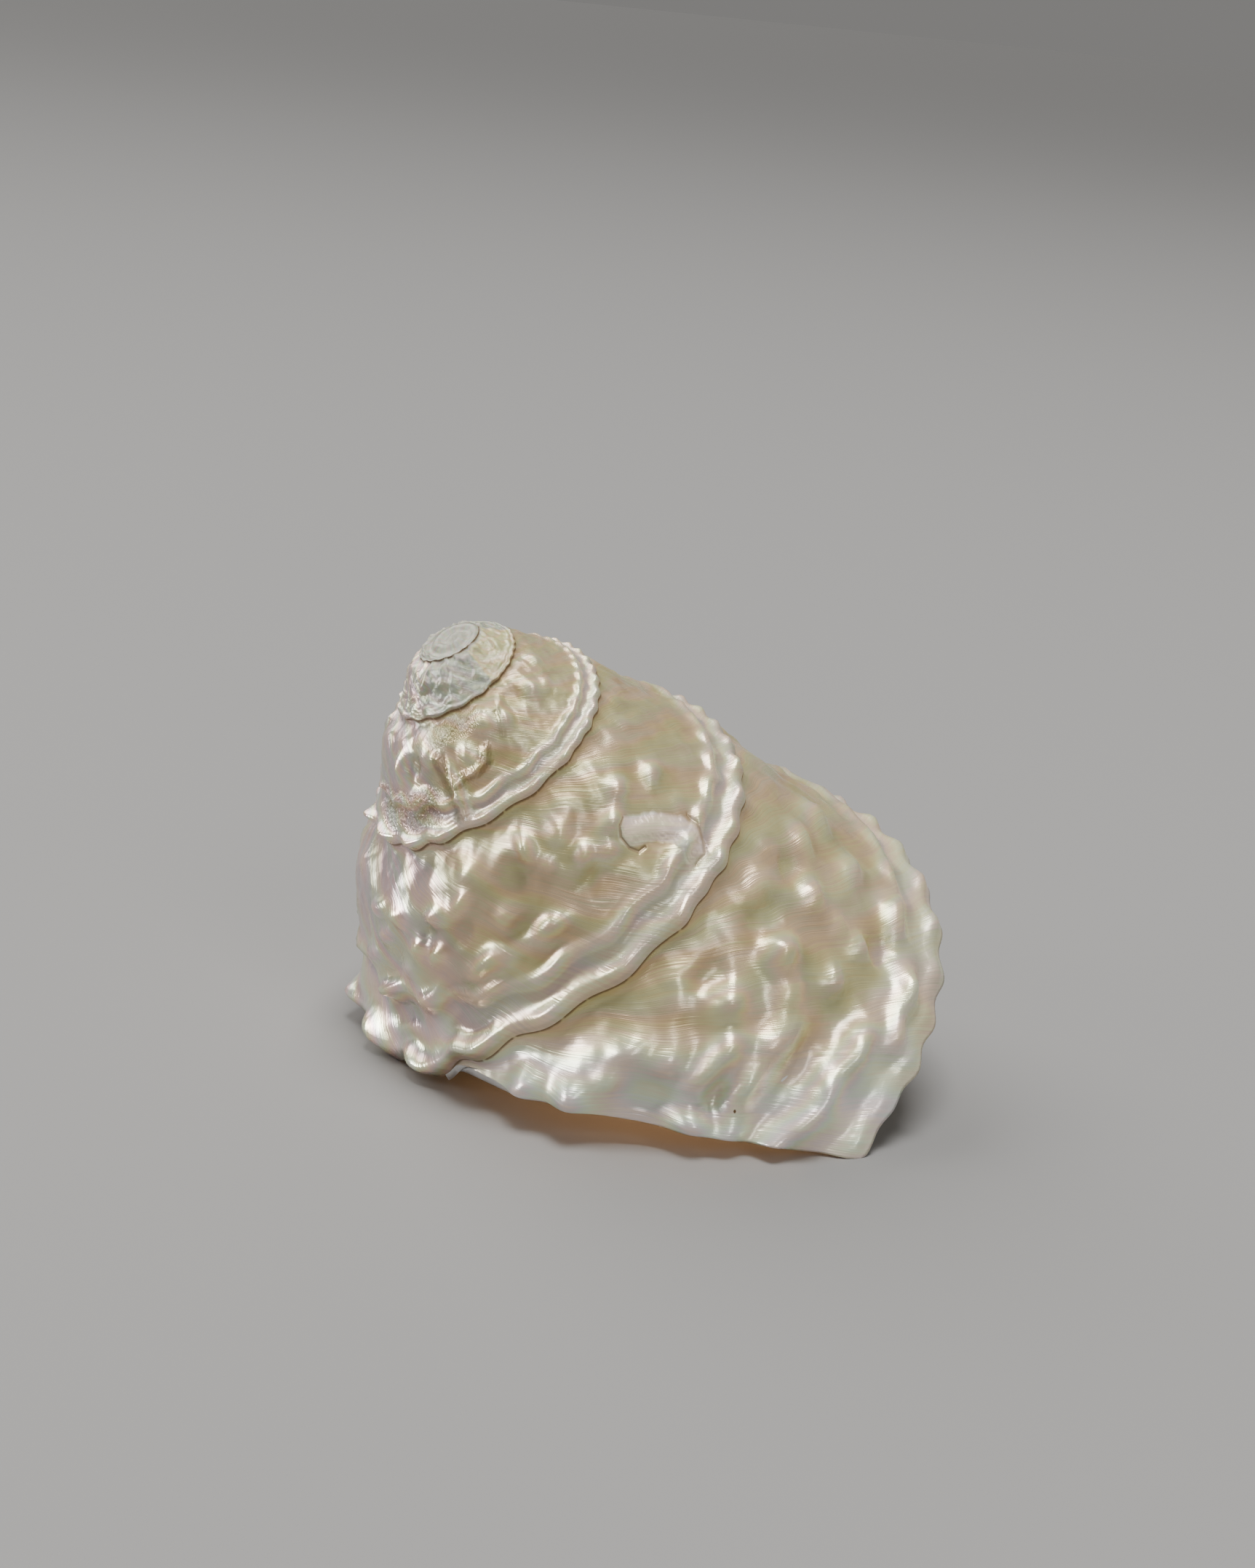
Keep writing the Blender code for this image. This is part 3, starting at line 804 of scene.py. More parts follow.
def open_rim(work, layer):
    """The open edge as a loop of points that starts at the end of the lip."""
    edges = [item for item in work.edges if item.is_boundary]
    spots = dict.fromkeys(vertex for item in edges for vertex in item.verts)
    marks = {}
    for vertex in spots:
        marks[vertex] = sorted(tuple(corner[layer].uv) for corner in vertex.link_loops)
    start = max(spots, key=lambda vertex: marks[vertex][-1][0])
    loop, before = [start], None
    while True:
        here = loop[-1]
        ways = [item.other_vert(here) for item in here.link_edges if item.is_boundary]
        ways = [way for way in ways if way is not before]
        if before is None:
            ways.sort(key=lambda way: -marks[way][-1][0])
        before = here
        if ways[0] is start:
            return loop, marks
        loop.append(ways[0])


def rim_mark(marks):
    """Turn round the section and growth angle of one point of the rim."""
    growth, share = marks[-1]
    if growth > TINY:
        return share, growth * math.tau
    share = max(mark[1] for mark in marks)
    if share <= 1.0 + TINY:
        return 1.0, 0.0
    down = share - 1.0
    if abs(growth) < TINY:
        return 1.0 + down, COLUMELLA_SHARE * LIP_REACH * down ** 3
    climb = ease((1.0 - down) * 2.5)
    return 2.0 + 2.0 * (1.0 - down), LIP_REACH * (COLUMELLA_SHARE + (1.0 - COLUMELLA_SHARE) * climb)


print("the columella's foot lies", round(COLUMELLA_SHARE * math.degrees(LIP_REACH)), "degrees round")

# %% The section of the hollow
# All of these are shares of the keel's radius, but for the span, which is a share of the face,
# and the inner curve, which is in shares of the columella, of the height and of the radius.
WALL = 0.048
FLOOR_LIFT = 0.070
FLOOR_START = (-0.11, 0.055)
FLOOR_RADIUS = 0.19
FLOOR_RISE = 0.135
ROOF_INSET = (-0.058, -0.053)
HOLLOW_SPAN = (0.08, 0.92)
INNER_CURVE = (0.55, 0.40, 0.02)
AHEAD = 0.03


def floor_point(angle, share):
    """A point of the hollow's floor, from under the keel inwards."""
    angle = min(angle, 0.0)
    size, height = keel(angle)
    drop = FOOT_DROP * (size / KEEL_RADIUS) ** SPIRE_POWER * KEEL_RADIUS
    start = np.array((size, height)) + np.array(FLOOR_START) * size
    end = np.array((FLOOR_RADIUS * size, FLOOR_RISE * size - drop))
    rise = np.array((0.0, (FLOOR_LIFT * (1.0 - slope_blend(angle)) - base_bulge(angle)) * size))
    middle = [start + (end - start) * part + rise for part in THIRDS]
    return bezier((start, *middle, end), share)


def inner_face(angle, share):
    """A point of the smooth face, which the inside follows."""
    return np.array(face_point(angle, share, smooth_stand(angle, share)))


def hollow_point(angle, turn):
    """A point of the section: turn is 0 at the suture, 1 the keel, 2 the foot, 4 the suture."""
    size = keel(min(angle, 0.0))[0]
    if turn <= 1.0:
        share = HOLLOW_SPAN[0] + (HOLLOW_SPAN[1] - HOLLOW_SPAN[0]) * turn
        here, ahead = inner_face(angle, share), inner_face(angle, share + AHEAD)
        step = (ahead - here) / np.linalg.norm(ahead - here)
        return here - np.array((-step[1], step[0])) * WALL * size
    if turn <= 2.0:
        return floor_point(angle, turn - 1.0)
    column, end = COLUMELLA * size, floor_point(angle, 1.0)
    roof = np.array(edge(max(angle - math.tau, TIP_ANGLE))) + np.array(ROOF_INSET) * size
    narrow, low, high = INNER_CURVE
    inner = ((narrow * column, end[1] + low * (roof[1] - end[1])), (column, roof[1] + high * size))
    return bezier((end, *inner, roof), (turn - 2.0) / 2.0)


across = hollow_point(0.0, 0.5)[0] - hollow_point(0.0, 3.0)[0]
print("at the lip's corner the hollow is", round(across * 1000), "mm wide")

# %% Rings of the hollow
LIP_THICKNESS = 0.0012


def spun(angle, point):
    """A section's point as a place in space."""
    return Vector((point[0] * math.cos(angle), -point[0] * math.sin(angle), point[1]))


def thin_lip(loop, starts):
    """The rim's points, moved inwards by the thickness of the lip."""
    rims = []
    for vertex, start in zip(loop, starts):
        inward = start - vertex.co
        rims.append(vertex.co + inward.normalized() * min(LIP_THICKNESS, inward.length))
    return rims


def ring_places(rim, slant, back, opened):
    """Places of one ring; until the hollow has opened, it keeps some of the rim's own shape."""
    row = []
    for turn, even, angle, start, lip in rim:
        here = angle * slant - back
        turn = turn + (even - turn) * (1.0 - slant)
        carried = Matrix.Rotation(angle - here, 3, "Z") @ (lip - start)
        row.append(spun(here, hollow_point(here, turn)) + carried * (1.0 - opened))
    return row


def stitch(work, layer, ring, new, mark):
    """Joins two rings with faces, which get their growth coordinates."""
    for i in range(len(ring)):
        j = (i + 1) % len(ring)
        corners = [ring[i], ring[j], new[j]] + ([new[i]] if new[i] is not new[j] else [])
        face = work.faces.new(corners)
        face.smooth = True
        for corner in face.loops:
            corner[layer].uv = mark


print("the lip is", LIP_THICKNESS * 1000, "mm thick at its edge")

# %% Wind the hollow back from the rim
# How far it turns back, in how many rings, and over how many of them it opens from the rim,
# leaves the rim's slant and rounds off at its end.
HOLLOW_TURN = math.radians(456)
HOLLOW_RINGS = 76
RIM_RINGS = 10
SLANT_RINGS = 32
END_RINGS = 10
INSIDE_MARK = 3.0


def wind_hollow(work, layer):
    """Adds the inside, ring by ring, and closes its end."""
    loop, marks = open_rim(work, layer)
    turns, angles = zip(*(rim_mark(marks[vertex]) for vertex in loop))
    lip_points = sum(angle > TINY and turn <= 1.0 for turn, angle in zip(turns, angles))
    evens = [i / lip_points if i < lip_points else turn for i, turn in enumerate(turns)]
    starts = [spun(angle, hollow_point(angle, turn)) for turn, angle in zip(turns, angles)]
    rim = list(zip(turns, evens, angles, starts, thin_lip(loop, starts)))
    ring = loop
    for number in range(HOLLOW_RINGS + 1):
        opened = ease(number / RIM_RINGS)
        slant = 1.0 - min(number / SLANT_RINGS, 1.0)
        left = min((HOLLOW_RINGS - number) / END_RINGS, 1.0)
        swell = math.sqrt(1.0 - (1.0 - left) ** 2)
        back = HOLLOW_TURN * number / HOLLOW_RINGS * opened
        row = ring_places(rim, slant, back, opened)
        middle = sum(row, Vector()) / len(row)
        if number == HOLLOW_RINGS:
            new = [work.verts.new(middle)] * len(row)
        else:
            new = [work.verts.new(middle + (point - middle) * swell) for point in row]
        stitch(work, layer, ring, new, (-back / math.tau, INSIDE_MARK + number / HOLLOW_RINGS))
        ring = new
    return len(loop)


print("the hollow turns back", round(math.degrees(HOLLOW_TURN)), "degrees in", HOLLOW_RINGS, "rings")


# %% Add the hollow to the skin
def finish_skin(mesh):
    """Adds the hollow to the wound skin and turns all faces outwards."""
    work = bmesh.new()
    work.from_mesh(mesh)
    layer = work.loops.layers.uv[WHORL_MAP]
    around = wind_hollow(work, layer)
    bmesh.ops.recalc_face_normals(work, faces=work.faces[:])
    gaps = sum(not item.is_manifold for item in work.edges)
    triangles = sum(len(face.verts) - 2 for face in work.faces)
    work.to_mesh(mesh)
    work.free()
    print("the rim has", around, "points;", gaps, "open edges;", triangles, "triangles")


finish_skin(shell.data)

# %% [markdown]
# ## Laying the shell down
#
# The rule builds the shell upright. On a table it tips over onto its mouth and rests on three
# places: the corner of the lip, the foot of the columella and a knob on the left. It could be
# dropped there with rigid body physics, but the solid has already found its rest. The same turn
# and shift that the solid was given puts the skin exactly over it. They go into the mesh, so that
# the object itself stays unturned.

# %% Lean, side and turn
LEAN = math.radians(32.5)
LEAN_SIDE = math.radians(-147.0)
TURN = math.radians(92.8)
TIP_PLACE = (-0.032846, -0.018664, 0.065406)


def laid_down():
    """The turn and shift from the upright shell to the shell at rest."""
    spin = Matrix.Rotation(TURN, 4, "Z")
    over = Matrix.Rotation(LEAN, 4, "Y")
    side = Matrix.Rotation(LEAN_SIDE, 4, "Z")
    return Matrix.Translation(TIP_PLACE) @ side @ over @ spin


shell.data.transform(laid_down())
for vertex in shell.data.vertices:
    vertex.co.z = max(vertex.co.z, 0.0)
corners = np.array([vertex.co for vertex in shell.data.vertices])
print("the skin spans", np.round(corners.min(axis=0) * 1000, 1), "to",
      np.round(corners.max(axis=0) * 1000, 1), "mm")

# %% [markdown]
# ## Mother of pearl
#
# Nacre has no one colour. It is cream, khaki and green, and pink or mint where thin layers end
# at the surface. The skin's own UV map holds the growth angle and the share of each face, so
# that colours can follow the lines in which the shell grew. The height of the bumps was stored
# on the skin: with it the bumps are painted lighter, as painted light, and the dents darker, as
# painted shade. The finish could also be painted by hand, but nodes stay sharp from near by,
# and one number changes the whole shell.

# %% Colours and how they are mixed
CREAM = (0.86, 0.73, 0.455, 1.0)
KHAKI = (0.56, 0.445, 0.225, 1.0)
PALE = (0.90, 0.83, 0.66, 1.0)
ROSE = (0.88, 0.765, 0.735, 1.0)
DUSK = (0.40, 0.335, 0.32, 1.0)
MOON = (0.88, 0.89, 0.80, 1.0)
SEA_GREEN = (0.62, 0.60, 0.37, 1.0)
GREY_GREEN = (0.47, 0.465, 0.36, 1.0)
WORN_GREY = (0.26, 0.255, 0.19, 1.0)
STRAW = (0.68, 0.575, 0.27, 1.0)
HONEY = (0.68, 0.50, 0.31, 1.0)
CRACK_BROWN = (0.16, 0.085, 0.028, 1.0)
EARTH = (0.42, 0.30, 0.17, 1.0)


def blend(share, first, second):
    """Mixes two colours, which may be wires or plain colours."""
    inputs = {0: share, 6: first, 7: second}
    return share.bench.node("ShaderNodeMix", {"data_type": "RGBA"}, inputs, 2)


def layered(colour, layers):
    """Lays coats of colour over each other: how much of each shows, and its colour."""
    for amount, coat in layers:
        colour = blend(amount, colour, coat)
    return colour


def between(value, low, high, soft):
    """1 between two limits, with soft ends."""
    return ease(value, low - soft, low + soft) * (1.0 - ease(value, high - soft, high + soft))


print("the main tones are cream", CREAM[:3], "and khaki", KHAKI[:3])

# %% Coordinates for the colours
# How far round the lip lies at each share of the face; every line of growth lies like it.
LIP_LINE = ((0.0, math.radians(75)), (0.09, math.radians(60)), (0.25, math.radians(45)),
            (0.45, math.radians(30)), (0.70, math.radians(15)), (1.0, 0.0))
BENEATH = (1.0, 1.05)
INSIDE = (2.2, 2.8)

pearl.use_nodes = True
bench = Bench(pearl.node_tree)
mapped = bench.node("ShaderNodeUVMap", {"uv_map": WHORL_MAP})
split = bench.node("ShaderNodeSeparateXYZ", {}, {0: mapped})
angle, share = split * math.tau, split.other("Y")
raised = bench.node("ShaderNodeAttribute", {"attribute_name": RAISED}, {}, 2)
inside = ease(share, *INSIDE)
beneath = ease(share, *BENEATH) * (1.0 - inside)
face = smaller(larger(share, 0.0), 1.0)
growth = angle - along_curve(face, LIP_LINE)
size = keel(smaller(angle, 0.0))[0] * 1000.0
degrees = angle * math.degrees(1.0)
print("the colours use", len(pearl.node_tree.nodes), "nodes so far")

# %% [markdown]
# ## Marks of this one shell
#
# A few marks belong to this one shell: a healed scar with a brown outline and a small loop, a
# branched ridge, a curved line above it, two rough brown patches and a pinhole. Each line is
# drawn through points of growth angle in degrees and share of the face, and the shader measures
# how far away it is. That one distance then serves the colour as well as the relief, which a
# painted line could not.

# %% Where the marks are
SCAR_LINE = ((-363, 0.41), (-360.3, 0.413), (-358.8, 0.46), (-359.1, 0.53), (-361, 0.58),
             (-363.5, 0.60))
SCAR_HOOK = ((-381.5, 0.70), (-381, 0.76), (-379, 0.835), (-376.4, 0.88), (-372.3, 0.88))
SCAR_BODY = ((-362, 0.475), (-371, 0.58), (-376, 0.70), (-374.5, 0.82))
LOOP = (-374.4, 0.832)
LOOP_RADII = (1.35, 0.45)
BRANCH = ((-659, 0.34), (-662, 0.50), (-666, 0.68), (-668, 0.88))
BRANCH_ARM = ((-666, 0.65), (-672, 0.575), (-680, 0.565), (-686, 0.53), (-688, 0.45))
EAR_LINE = ((-672, 0.13), (-692, 0.10), (-705, 0.20), (-701, 0.42))
PINHOLE = (14.0, 0.575)

# Two patches: their degrees, their shares of the face, how soft their sides are, how strong.
ROUGH_PATCHES = (((-654.0, -606.0), (0.58, 0.84), 0.06, 1.0),
                 ((-690.0, -655.0), (0.06, 0.24), 0.05, 0.6))
PATCH_SOFT = 6.0

# Millimetres for one degree and for the whole face, near each mark.
NEAR_SCAR = (0.445, 26.8)
NEAR_BRANCH = (0.25, 15.5)
NEAR_LIP = (0.75, 36.0)


@grouped
def nearer(nearest, x, y, start_x, start_y, run, rise):
    """The smaller of a distance and the distance from a point to one straight piece."""
    x, y = x - start_x, y - start_y
    along = smaller(larger((x * run + y * rise) / (run * run + rise * rise), 0.0), 1.0)
    x, y = x - along * run, y - along * rise
    return smaller(nearest, (x * x + y * y).math("SQRT"))


def stroke(points, scale):
    """Distance in millimetres to a line through points of degrees and share."""
    places = [(turned * scale[0], low * scale[1]) for turned, low in points]
    x, y = degrees * scale[0], face * scale[1]
    nearest = 1000.0
    for (start_x, start_y), (end_x, end_y) in zip(places, places[1:]):
        nearest = nearer(nearest, x, y, start_x, start_y, end_x - start_x, end_y - start_y)
    return nearest


def ring_at(place, scale, radius):
    """Distance in millimetres to a circle round a place."""
    x, y = (degrees - place[0]) * scale[0], (face - place[1]) * scale[1]
    return ((x * x + y * y).math("SQRT") - radius).math("ABSOLUTE")


print("the scar's hook is drawn through", len(SCAR_HOOK), "points")

# %% How far each mark is
shaky = noise(bench, angle * 30.0, face * 22.0, 5.0)
scar_line = stroke(SCAR_LINE, NEAR_SCAR) + shaky * 0.12
scar_body = stroke(SCAR_BODY, NEAR_SCAR) + shaky * 0.25
hook = stroke(SCAR_HOOK, NEAR_SCAR) + shaky * 0.12
outer, inner = (ring_at(LOOP, NEAR_SCAR, radius) for radius in LOOP_RADII)
loop = smaller(outer, inner) + shaky * 0.08
branch = smaller(stroke(BRANCH, NEAR_BRANCH), stroke(BRANCH_ARM, NEAR_BRANCH)) + shaky * 0.15
ear = stroke(EAR_LINE, NEAR_BRANCH) + shaky * 0.10
pinhole = ring_at(PINHOLE, NEAR_LIP, 0.0)
scar = 1.0 - ease(scar_body, 1.5, 2.2)
scar_dome = 1.0 - ease(scar_body, 0.2, 2.2)
rough_patch = 0.0
for (start, end), (low, high), soft, strength in ROUGH_PATCHES:
    patch = between(degrees, start, end, PATCH_SOFT) * between(face, low, high, soft)
    rough_patch = patch * strength + rough_patch
print("with the marks they use", len(pearl.node_tree.nodes))

# %% [markdown]
# ## Colours that follow the growth
#
# Nacre is laid down in sheets, so its tones lie in bands and hairlines along the old edges of
# the lip. The same kind of noise makes them all: its first coordinate is the growth, stretched
# so that the bands get narrow, and its second is the share of the face. The tones are coats laid
# over each other, from the largest patches to the marks. The worn tip is greyer, because most of
# its nacre is gone.

# %% Bands and regions
EARLY = (-1010.0, -985.0)
LAST_WHORL = (-150.0, -90.0)
NEAR_LIP_SPAN = (math.radians(-34), math.radians(-6))
STRAW_SPAN = (-1150.0, -1074.0)

patches = noise(bench, growth * 5.0, face * 3.0, 11.0)
lines = noise(bench, growth * 60.0, face * 3.5, 13.0)
hairs = noise(bench, growth * 230.0, face * 6.0, 17.0, 0.0)
spots = noise(bench, angle * 12.0, face * 12.0, 19.0)
greens = noise(bench, angle * 6.0, face * 6.0, 23.0)
left_side = ease(cos(angle - ROUND_SIDE), 0.55, 0.95)
early = 1.0 - ease(degrees, *EARLY)
last = ease(degrees, *LAST_WHORL)
# Near the lip: a cooler, paler tone of the nacre and a painted highlight.
near_lip = ease(growth, *NEAR_LIP_SPAN) * last
# Painted shade: this mask finds the dents from the stored height, and the colours darken them.
dent = 1.0 - ease(raised + spots * 0.006, -0.010, 0.020)
# Painted shade: the groove between the carinas, where the height sinks, is darkened.
groove = ease(raised * -1.0, 0.001, 0.013) * between(face, 0.70, 0.94, 0.04)
rim = ease(face, 0.70, 0.80) * (0.75 + lines * 0.25)
past_keel = ease(share, 1.0, 1.01)
print("with the bands they use", len(pearl.node_tree.nodes))

# %% Coats of colour
earthy = rough_patch * ease(spots + shaky * 0.5, -0.3, 0.5)
colour = blend(ease(patches + spots * 0.4, -0.5, 0.5), CREAM, KHAKI)
colour = layered(colour, (
    # Painted light: the bumps are lightened to cream where they stand highest.
    (ease(raised, 0.004, 0.030) * 0.75, CREAM),
    # Painted shade: the dents are darkened to khaki.
    (dent * 0.85, KHAKI),
    (last * ease(greens, -0.1, 0.5) * 0.45, SEA_GREEN),
    # Painted reflection: on the left the dents take a dark dusky grey, as a dark mirror image would
    # give.
    (dent * left_side * 0.55, DUSK),
    # The left side takes its own pink, which is also kept pale as painted light on that brightly lit
    # side.
    (left_side * (0.45 + patches * 0.25) * (1.0 - early), ROSE),
    (smaller(rim * 0.65, 1.0), PALE),
    # Painted shade: the groove between the carinas turns dusky grey.
    (groove * 0.55, DUSK),
    # Near the lip the nacre turns whiter: partly its own cool tone, partly a painted highlight.
    (near_lip * 0.70, MOON),
    (scar * 0.85, PALE),
    (smaller(earthy, 1.0) * 0.7, EARTH)))

tip_tone = blend(ease(spots, -0.2, 0.5) * 0.35, GREY_GREEN, PALE)
tip_tone = blend(ease(lines, -0.1, 0.5) * 0.40, tip_tone, WORN_GREY)
straw = between(degrees, *STRAW_SPAN, 1.5) * ease(share, 0.05, 0.15) * (1.0 - past_keel)
disc = ease(share * -1.0, 0.01, 0.06)
turns = cos(angle * 0.5 - share * 5.0 + spots).math("ABSOLUTE")
spiral = (1.0 - ease(turns, 0.02, 0.16)) * disc
colour = layered(colour, (
    (early, tip_tone),
    (straw * 0.85, STRAW),
    (disc * (0.45 + spots * 0.3), WORN_GREY),
    (spiral * 0.35, EARTH)))
print("with the coats they use", len(pearl.node_tree.nodes))

# %% [markdown]
# ## Pearly fringes, cracks and the underside
#
# The shimmer of nacre comes from layers as thin as light's own waves, which make red, green and
# blue bright at different places. Three cosines, each a third of a turn later, do the same for
# the three parts of the colour. Their phase follows growth and height, so the fringes run like
# contour lines. A real thin film would change with the view, which can't be baked into the
# finished model. Dirt has stayed in the sutures and along the scar. The band just above each
# suture, under the keel, is darkened as painted shade, and the inside is cream mixed with honey,
# a painted warm glow of light coming through the thin shell.

# %% Fringes
FRINGE_LATER = -2.1

phase = growth * 14.0 + patches * 5.0 + lines * 2.0 + raised * 110.0
strength = 0.075 + left_side * 0.04 + near_lip * 0.005
parts = {part: 1.0 + cos(phase + part * FRINGE_LATER) * strength for part in range(3)}
fringe = bench.node("ShaderNodeCombineXYZ", {}, parts)
sheen = bench.node("ShaderNodeVectorMath", {"operation": "MULTIPLY"}, {0: colour, 1: fringe})
streaks = 1.0 + lines * 0.07 + hairs * 0.04
sheen = bench.node("ShaderNodeVectorMath", {"operation": "SCALE"}, {0: sheen, "Scale": streaks})
print("with the fringes they use", len(pearl.node_tree.nodes))

# %% Cracks, outlines, underside and inside
# The length of a face, from suture to keel, in keel radii; widths of cracks are in millimetres.
FACE_LENGTH = 0.72
CRACK_START = (-1180.0, -1150.0)
TIP_CRACK_SPAN = (-1150.0, -1062.0)

broken = noise(bench, angle * 25.0, 0.0, 29.0)
below_suture = face * size * FACE_LENGTH
crack = (1.0 - ease(below_suture, 0.12, 0.42 + broken * 0.20)) * ease(broken, -0.55, -0.1)
crack = crack * ease(degrees, *CRACK_START) * (1.0 - beneath) * ease(share, -0.001, 0.0)
# Painted shade: the narrow band just above each suture, under the keel, is darkened.
old_edge = ease(face, 0.965, 0.985) * (1.0 - last) * (1.0 - ease(face, 0.999, 1.0))
tip_crack = between(degrees, *TIP_CRACK_SPAN, 3.0) * ease(share, 0.90, 0.97)
tip_crack = tip_crack * (1.0 - past_keel) * ease(broken + spots, -0.3, 0.2)

# Each outline: its distance, where it starts to fade and where it is gone, and its strength.
outline = 0.0
for distance, full, gone, strength in ((scar_line, 0.12, 0.34, 0.80), (hook, 0.10, 0.40, 0.55),
                                       (loop, 0.05, 0.20, 0.20), (ear, 0.05, 0.25, 0.12)):
    outline = larger((1.0 - ease(distance, full, gone)) * strength, outline)

cords = cos(share * (math.tau * SKIN_INPUTS["Base cords"])) * 0.5 + 0.5
# The inside is cream nacre mixed with honey; the honey is a painted warm glow of light coming
# through the thin shell.
silver = blend(ease(patches, -0.4, 0.5), CREAM, HONEY)
finish = layered(sheen, (
    # Painted shade: the band under the keel is darkened towards earth brown.
    (old_edge * 0.35, EARTH),
    (tip_crack * 0.8, EARTH),
    (crack * 0.92, CRACK_BROWN),
    (outline, EARTH),
    (1.0 - ease(pinhole, 0.14, 0.26), CRACK_BROWN),
    (beneath * (0.35 + cords * 0.3), HONEY),
    (inside, silver)))
print("with the cracks they use", len(pearl.node_tree.nodes))

# %% [markdown]
# ## Gloss, and relief too fine for the mesh
#
# Growth lines as fine as hairs and the grain of the nacre would need millions of faces, so a
# Bump node draws them. Polished nacre is half mirror, half milk: some Metallic gives the bright,
# coloured mirror, and a clear coat on top gives the wet shine. The tip has lost that mirror, and
# the cracks and rough patches are dull.

# %% Fine relief
GRAIN_SCALE = 300.0

around = bench.node("ShaderNodeTexCoord", {}, {}, "Object")
grain = bench.node("ShaderNodeTexNoise", {"noise_dimensions": "4D"},
                   {"Vector": around, "W": 2.0, "Scale": GRAIN_SCALE, "Detail": 1.0}) * 2.0 - 1.0
pits = noise(bench, angle * 75.0, face * 40.0, 41.0) * smaller(rough_patch, 1.0)
height = hairs * 0.012 + lines * 0.025 + grain * 0.12 + pits * 0.45 + scar_dome * 0.60

# Each ridge or, below 0, groove: its distance, how narrow it is and its height in millimetres.
for distance, narrow, high in ((branch, 2.0, 1.0), (ear, 6.0, 0.22),
                               (scar_line, 18.0, -0.30), (hook, 10.0, -0.20)):
    height = height + exp(distance * distance * -narrow) * high
bump = bench.node("ShaderNodeBump", {}, {"Strength": 1.0, "Distance": 0.001,
                                         "Height": height * (1.0 - inside * 0.8)})
print("with the relief they use", len(pearl.node_tree.nodes))

# %% Gloss
ROUGHNESS, METALLIC, COAT = 0.25, 0.44, 0.40

shader = pearl.node_tree.nodes["Principled BSDF"]
shader.inputs["IOR"].default_value = 1.60
shader.inputs["Coat Roughness"].default_value = 0.20
shader.inputs["Coat IOR"].default_value = 1.5
roughness = (ROUGHNESS - early * 0.13 - left_side * 0.07 + ease(patches, -0.6, 0.6) * 0.10
             + rough_patch * 0.12 + beneath * 0.12 + crack * 0.3)
metallic = (METALLIC + left_side * 0.28 - dent * 0.12) * (1.0 - early * 0.75)
metallic = metallic * (1.0 - crack) * (1.0 - scar * 0.6)
coat = COAT - rough_patch * 0.3 - crack * 0.35
for name, wire in (("Base Color", finish), ("Roughness", roughness), ("Metallic", metallic),
                   ("Coat Weight", coat), ("Normal", bump)):
    pearl.node_tree.links.new(wire.socket, shader.inputs[name])
print("the whole finish has", len(pearl.node_tree.nodes), "nodes")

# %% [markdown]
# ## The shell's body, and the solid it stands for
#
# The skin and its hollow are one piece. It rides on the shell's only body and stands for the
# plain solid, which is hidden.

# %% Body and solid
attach(shell, "root")
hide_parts("turban_shell")
print(shell.name, "stands for turban_shell")

# %% [markdown]
# ## Floor, light and camera
#
# Pearl shows mostly what it mirrors, so the lamps are large and soft. A softbox above gives broad
# highlights, a weaker one in front fills the shade, and a low one at the left, which shines on
# nothing but gloss, makes the knobs sparkle. A soft sun from behind at the left models the bumps.
# The thin lip of the real shell lets some sun through, and a tiny warm lamp in the mouth stands
# for that. None of these belongs to the shell.

# %% A plain floor and a pale surround
FLOOR_SIZE = 60.0
FLOOR_COLOUR = (0.26, 0.257, 0.255, 1.0)
FLOOR_ROUGHNESS = 0.9
SURROUND_COLOUR = (1.0, 0.98, 0.95, 1.0)
SURROUND = 0.21

bpy.ops.mesh.primitive_plane_add(size=FLOOR_SIZE)
floor = bpy.context.object
floor.name = "floor"
pale = bpy.data.materials.new("pale_floor")
pale.use_nodes = True
pale.node_tree.nodes["Principled BSDF"].inputs["Base Color"].default_value = FLOOR_COLOUR
pale.node_tree.nodes["Principled BSDF"].inputs["Roughness"].default_value = FLOOR_ROUGHNESS
floor.data.materials.append(pale)
floor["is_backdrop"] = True

world = bpy.data.worlds.new("studio")
world.use_nodes = True
world.node_tree.nodes["Background"].inputs["Color"].default_value = SURROUND_COLOUR
world.node_tree.nodes["Background"].inputs["Strength"].default_value = SURROUND
bpy.context.scene.world = world
print("the floor is", FLOOR_SIZE, "m wide, so that its edge is far out of sight")

# %% Lamps
# Name, place, the point it faces, its size in metres, its power in watts and its colour.
AIM = (0.0, 0.0, 0.03)
SOFTBOXES = (("window", (0.0, -0.12, 2.35), AIM, (1.05, 1.05), 62.0, (1.0, 0.99, 0.97)),
             ("fill", (0.90, -1.60, 1.40), AIM, (0.60, 0.60), 7.0, (1.0, 0.99, 0.98)),
             ("side", (-0.80, -0.22, 0.36), AIM, (0.30, 0.38), 8.0, (1.0, 0.98, 0.97)),
             ("glow", (0.005, -0.004, 0.012), (0.02, -0.08, 0.0), (0.02, 0.01), 0.008,
              (1.0, 0.55, 0.25)))
DAYLIGHT = 2.3
DAYLIGHT_ANGLE = math.radians(45)
DAYLIGHT_COLOUR = (1.0, 0.985, 0.96)
SUNLIGHT_GOES = (0.66, -0.68, -0.74)


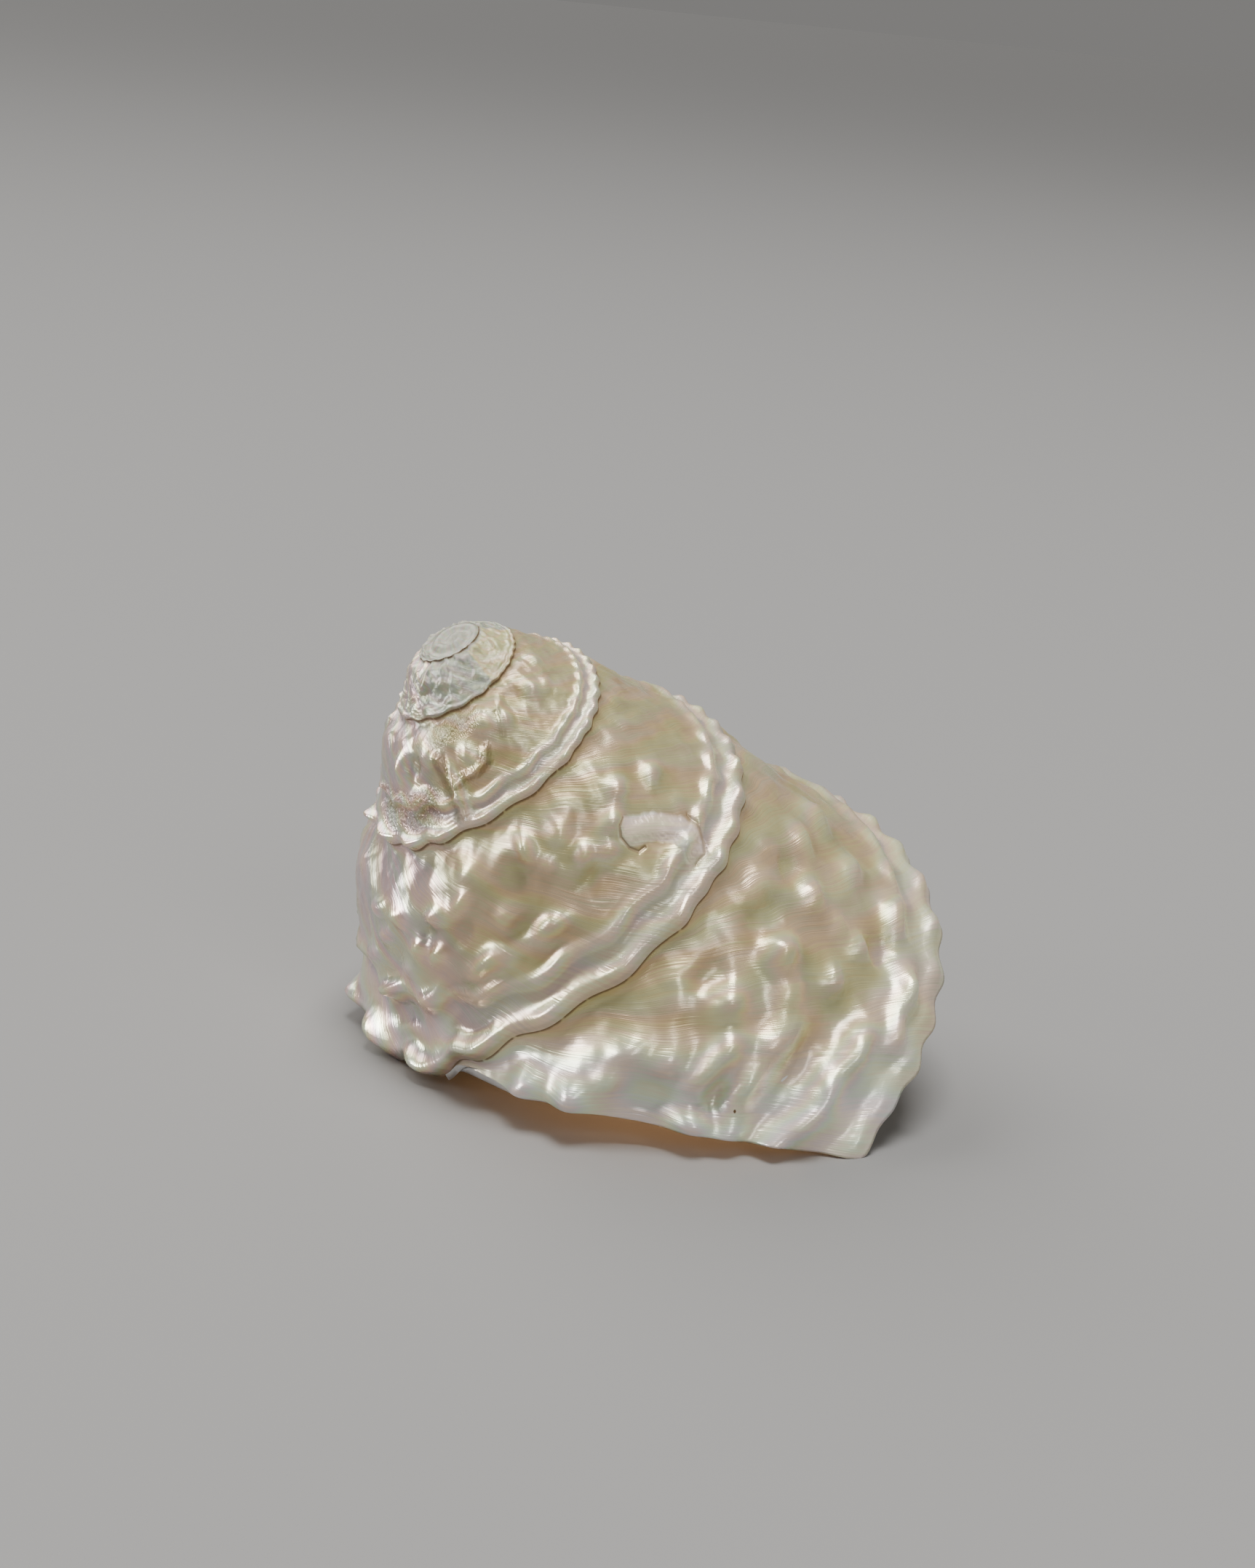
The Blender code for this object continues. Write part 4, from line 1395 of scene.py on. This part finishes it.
def hung(name, light, place, towards):
    """A lamp in the scene that shines in a direction."""
    lamp = bpy.data.objects.new(name, light)
    lamp.location = place
    lamp.rotation_euler = Vector(towards).to_track_quat("-Z", "Y").to_euler()
    bpy.context.scene.collection.objects.link(lamp)
    return lamp


def softbox(name, place, target, size, power, colour):
    """A flat lamp that faces a point."""
    light = bpy.data.lights.new(name, "AREA")
    light.shape, light.size, light.size_y = "RECTANGLE", *size
    light.energy, light.color = power, colour
    return hung(name, light, place, Vector(target) - Vector(place))


lamps = {row[0]: softbox(*row) for row in SOFTBOXES}
lamps["side"].visible_diffuse = False

daylight = bpy.data.lights.new("daylight", "SUN")
daylight.energy, daylight.angle, daylight.color = DAYLIGHT, DAYLIGHT_ANGLE, DAYLIGHT_COLOUR
hung("daylight", daylight, (0.0, 0.0, 0.0), SUNLIGHT_GOES)
print(len(lamps), "softboxes and a sun light the shell")

# %% Camera
CAMERA_PLACE = (-0.005496, -0.370743, 0.150988)
CAMERA_PITCH = math.radians(16.73)
CAMERA_ROLL = math.radians(5.80)
LENS = 60.1
SENSOR = 36.0
NEAREST_SEEN = 0.01

lens = bpy.data.cameras.new("camera")
lens.lens, lens.sensor_fit, lens.sensor_height, lens.sensor_width = LENS, "VERTICAL", SENSOR, SENSOR
lens.clip_start = NEAREST_SEEN
camera = bpy.data.objects.new("camera", lens)
camera.matrix_world = (Matrix.Translation(CAMERA_PLACE)
                       @ Matrix.Rotation(math.pi / 2 - CAMERA_PITCH, 4, "X")
                       @ Matrix.Rotation(CAMERA_ROLL, 4, "Z"))
bpy.context.scene.collection.objects.link(camera)
bpy.context.scene.camera = camera
print("the camera is", round(Vector(CAMERA_PLACE).length * 100), "cm from the shell's middle")

# %% [markdown]
# ## Sizes of the solid and the dressed shell
#
# Both boxes are kept, and the size of the dressed shell is printed.

# %% Both boxes
boxes = {"solid": [list(corner) for corner in solid_box],
         "dressed": [list(corner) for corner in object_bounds()]}
sides = [round((high - low) * 1000, 1) for low, high in zip(*boxes["dressed"])]
print("the dressed shell is", sides, "mm")
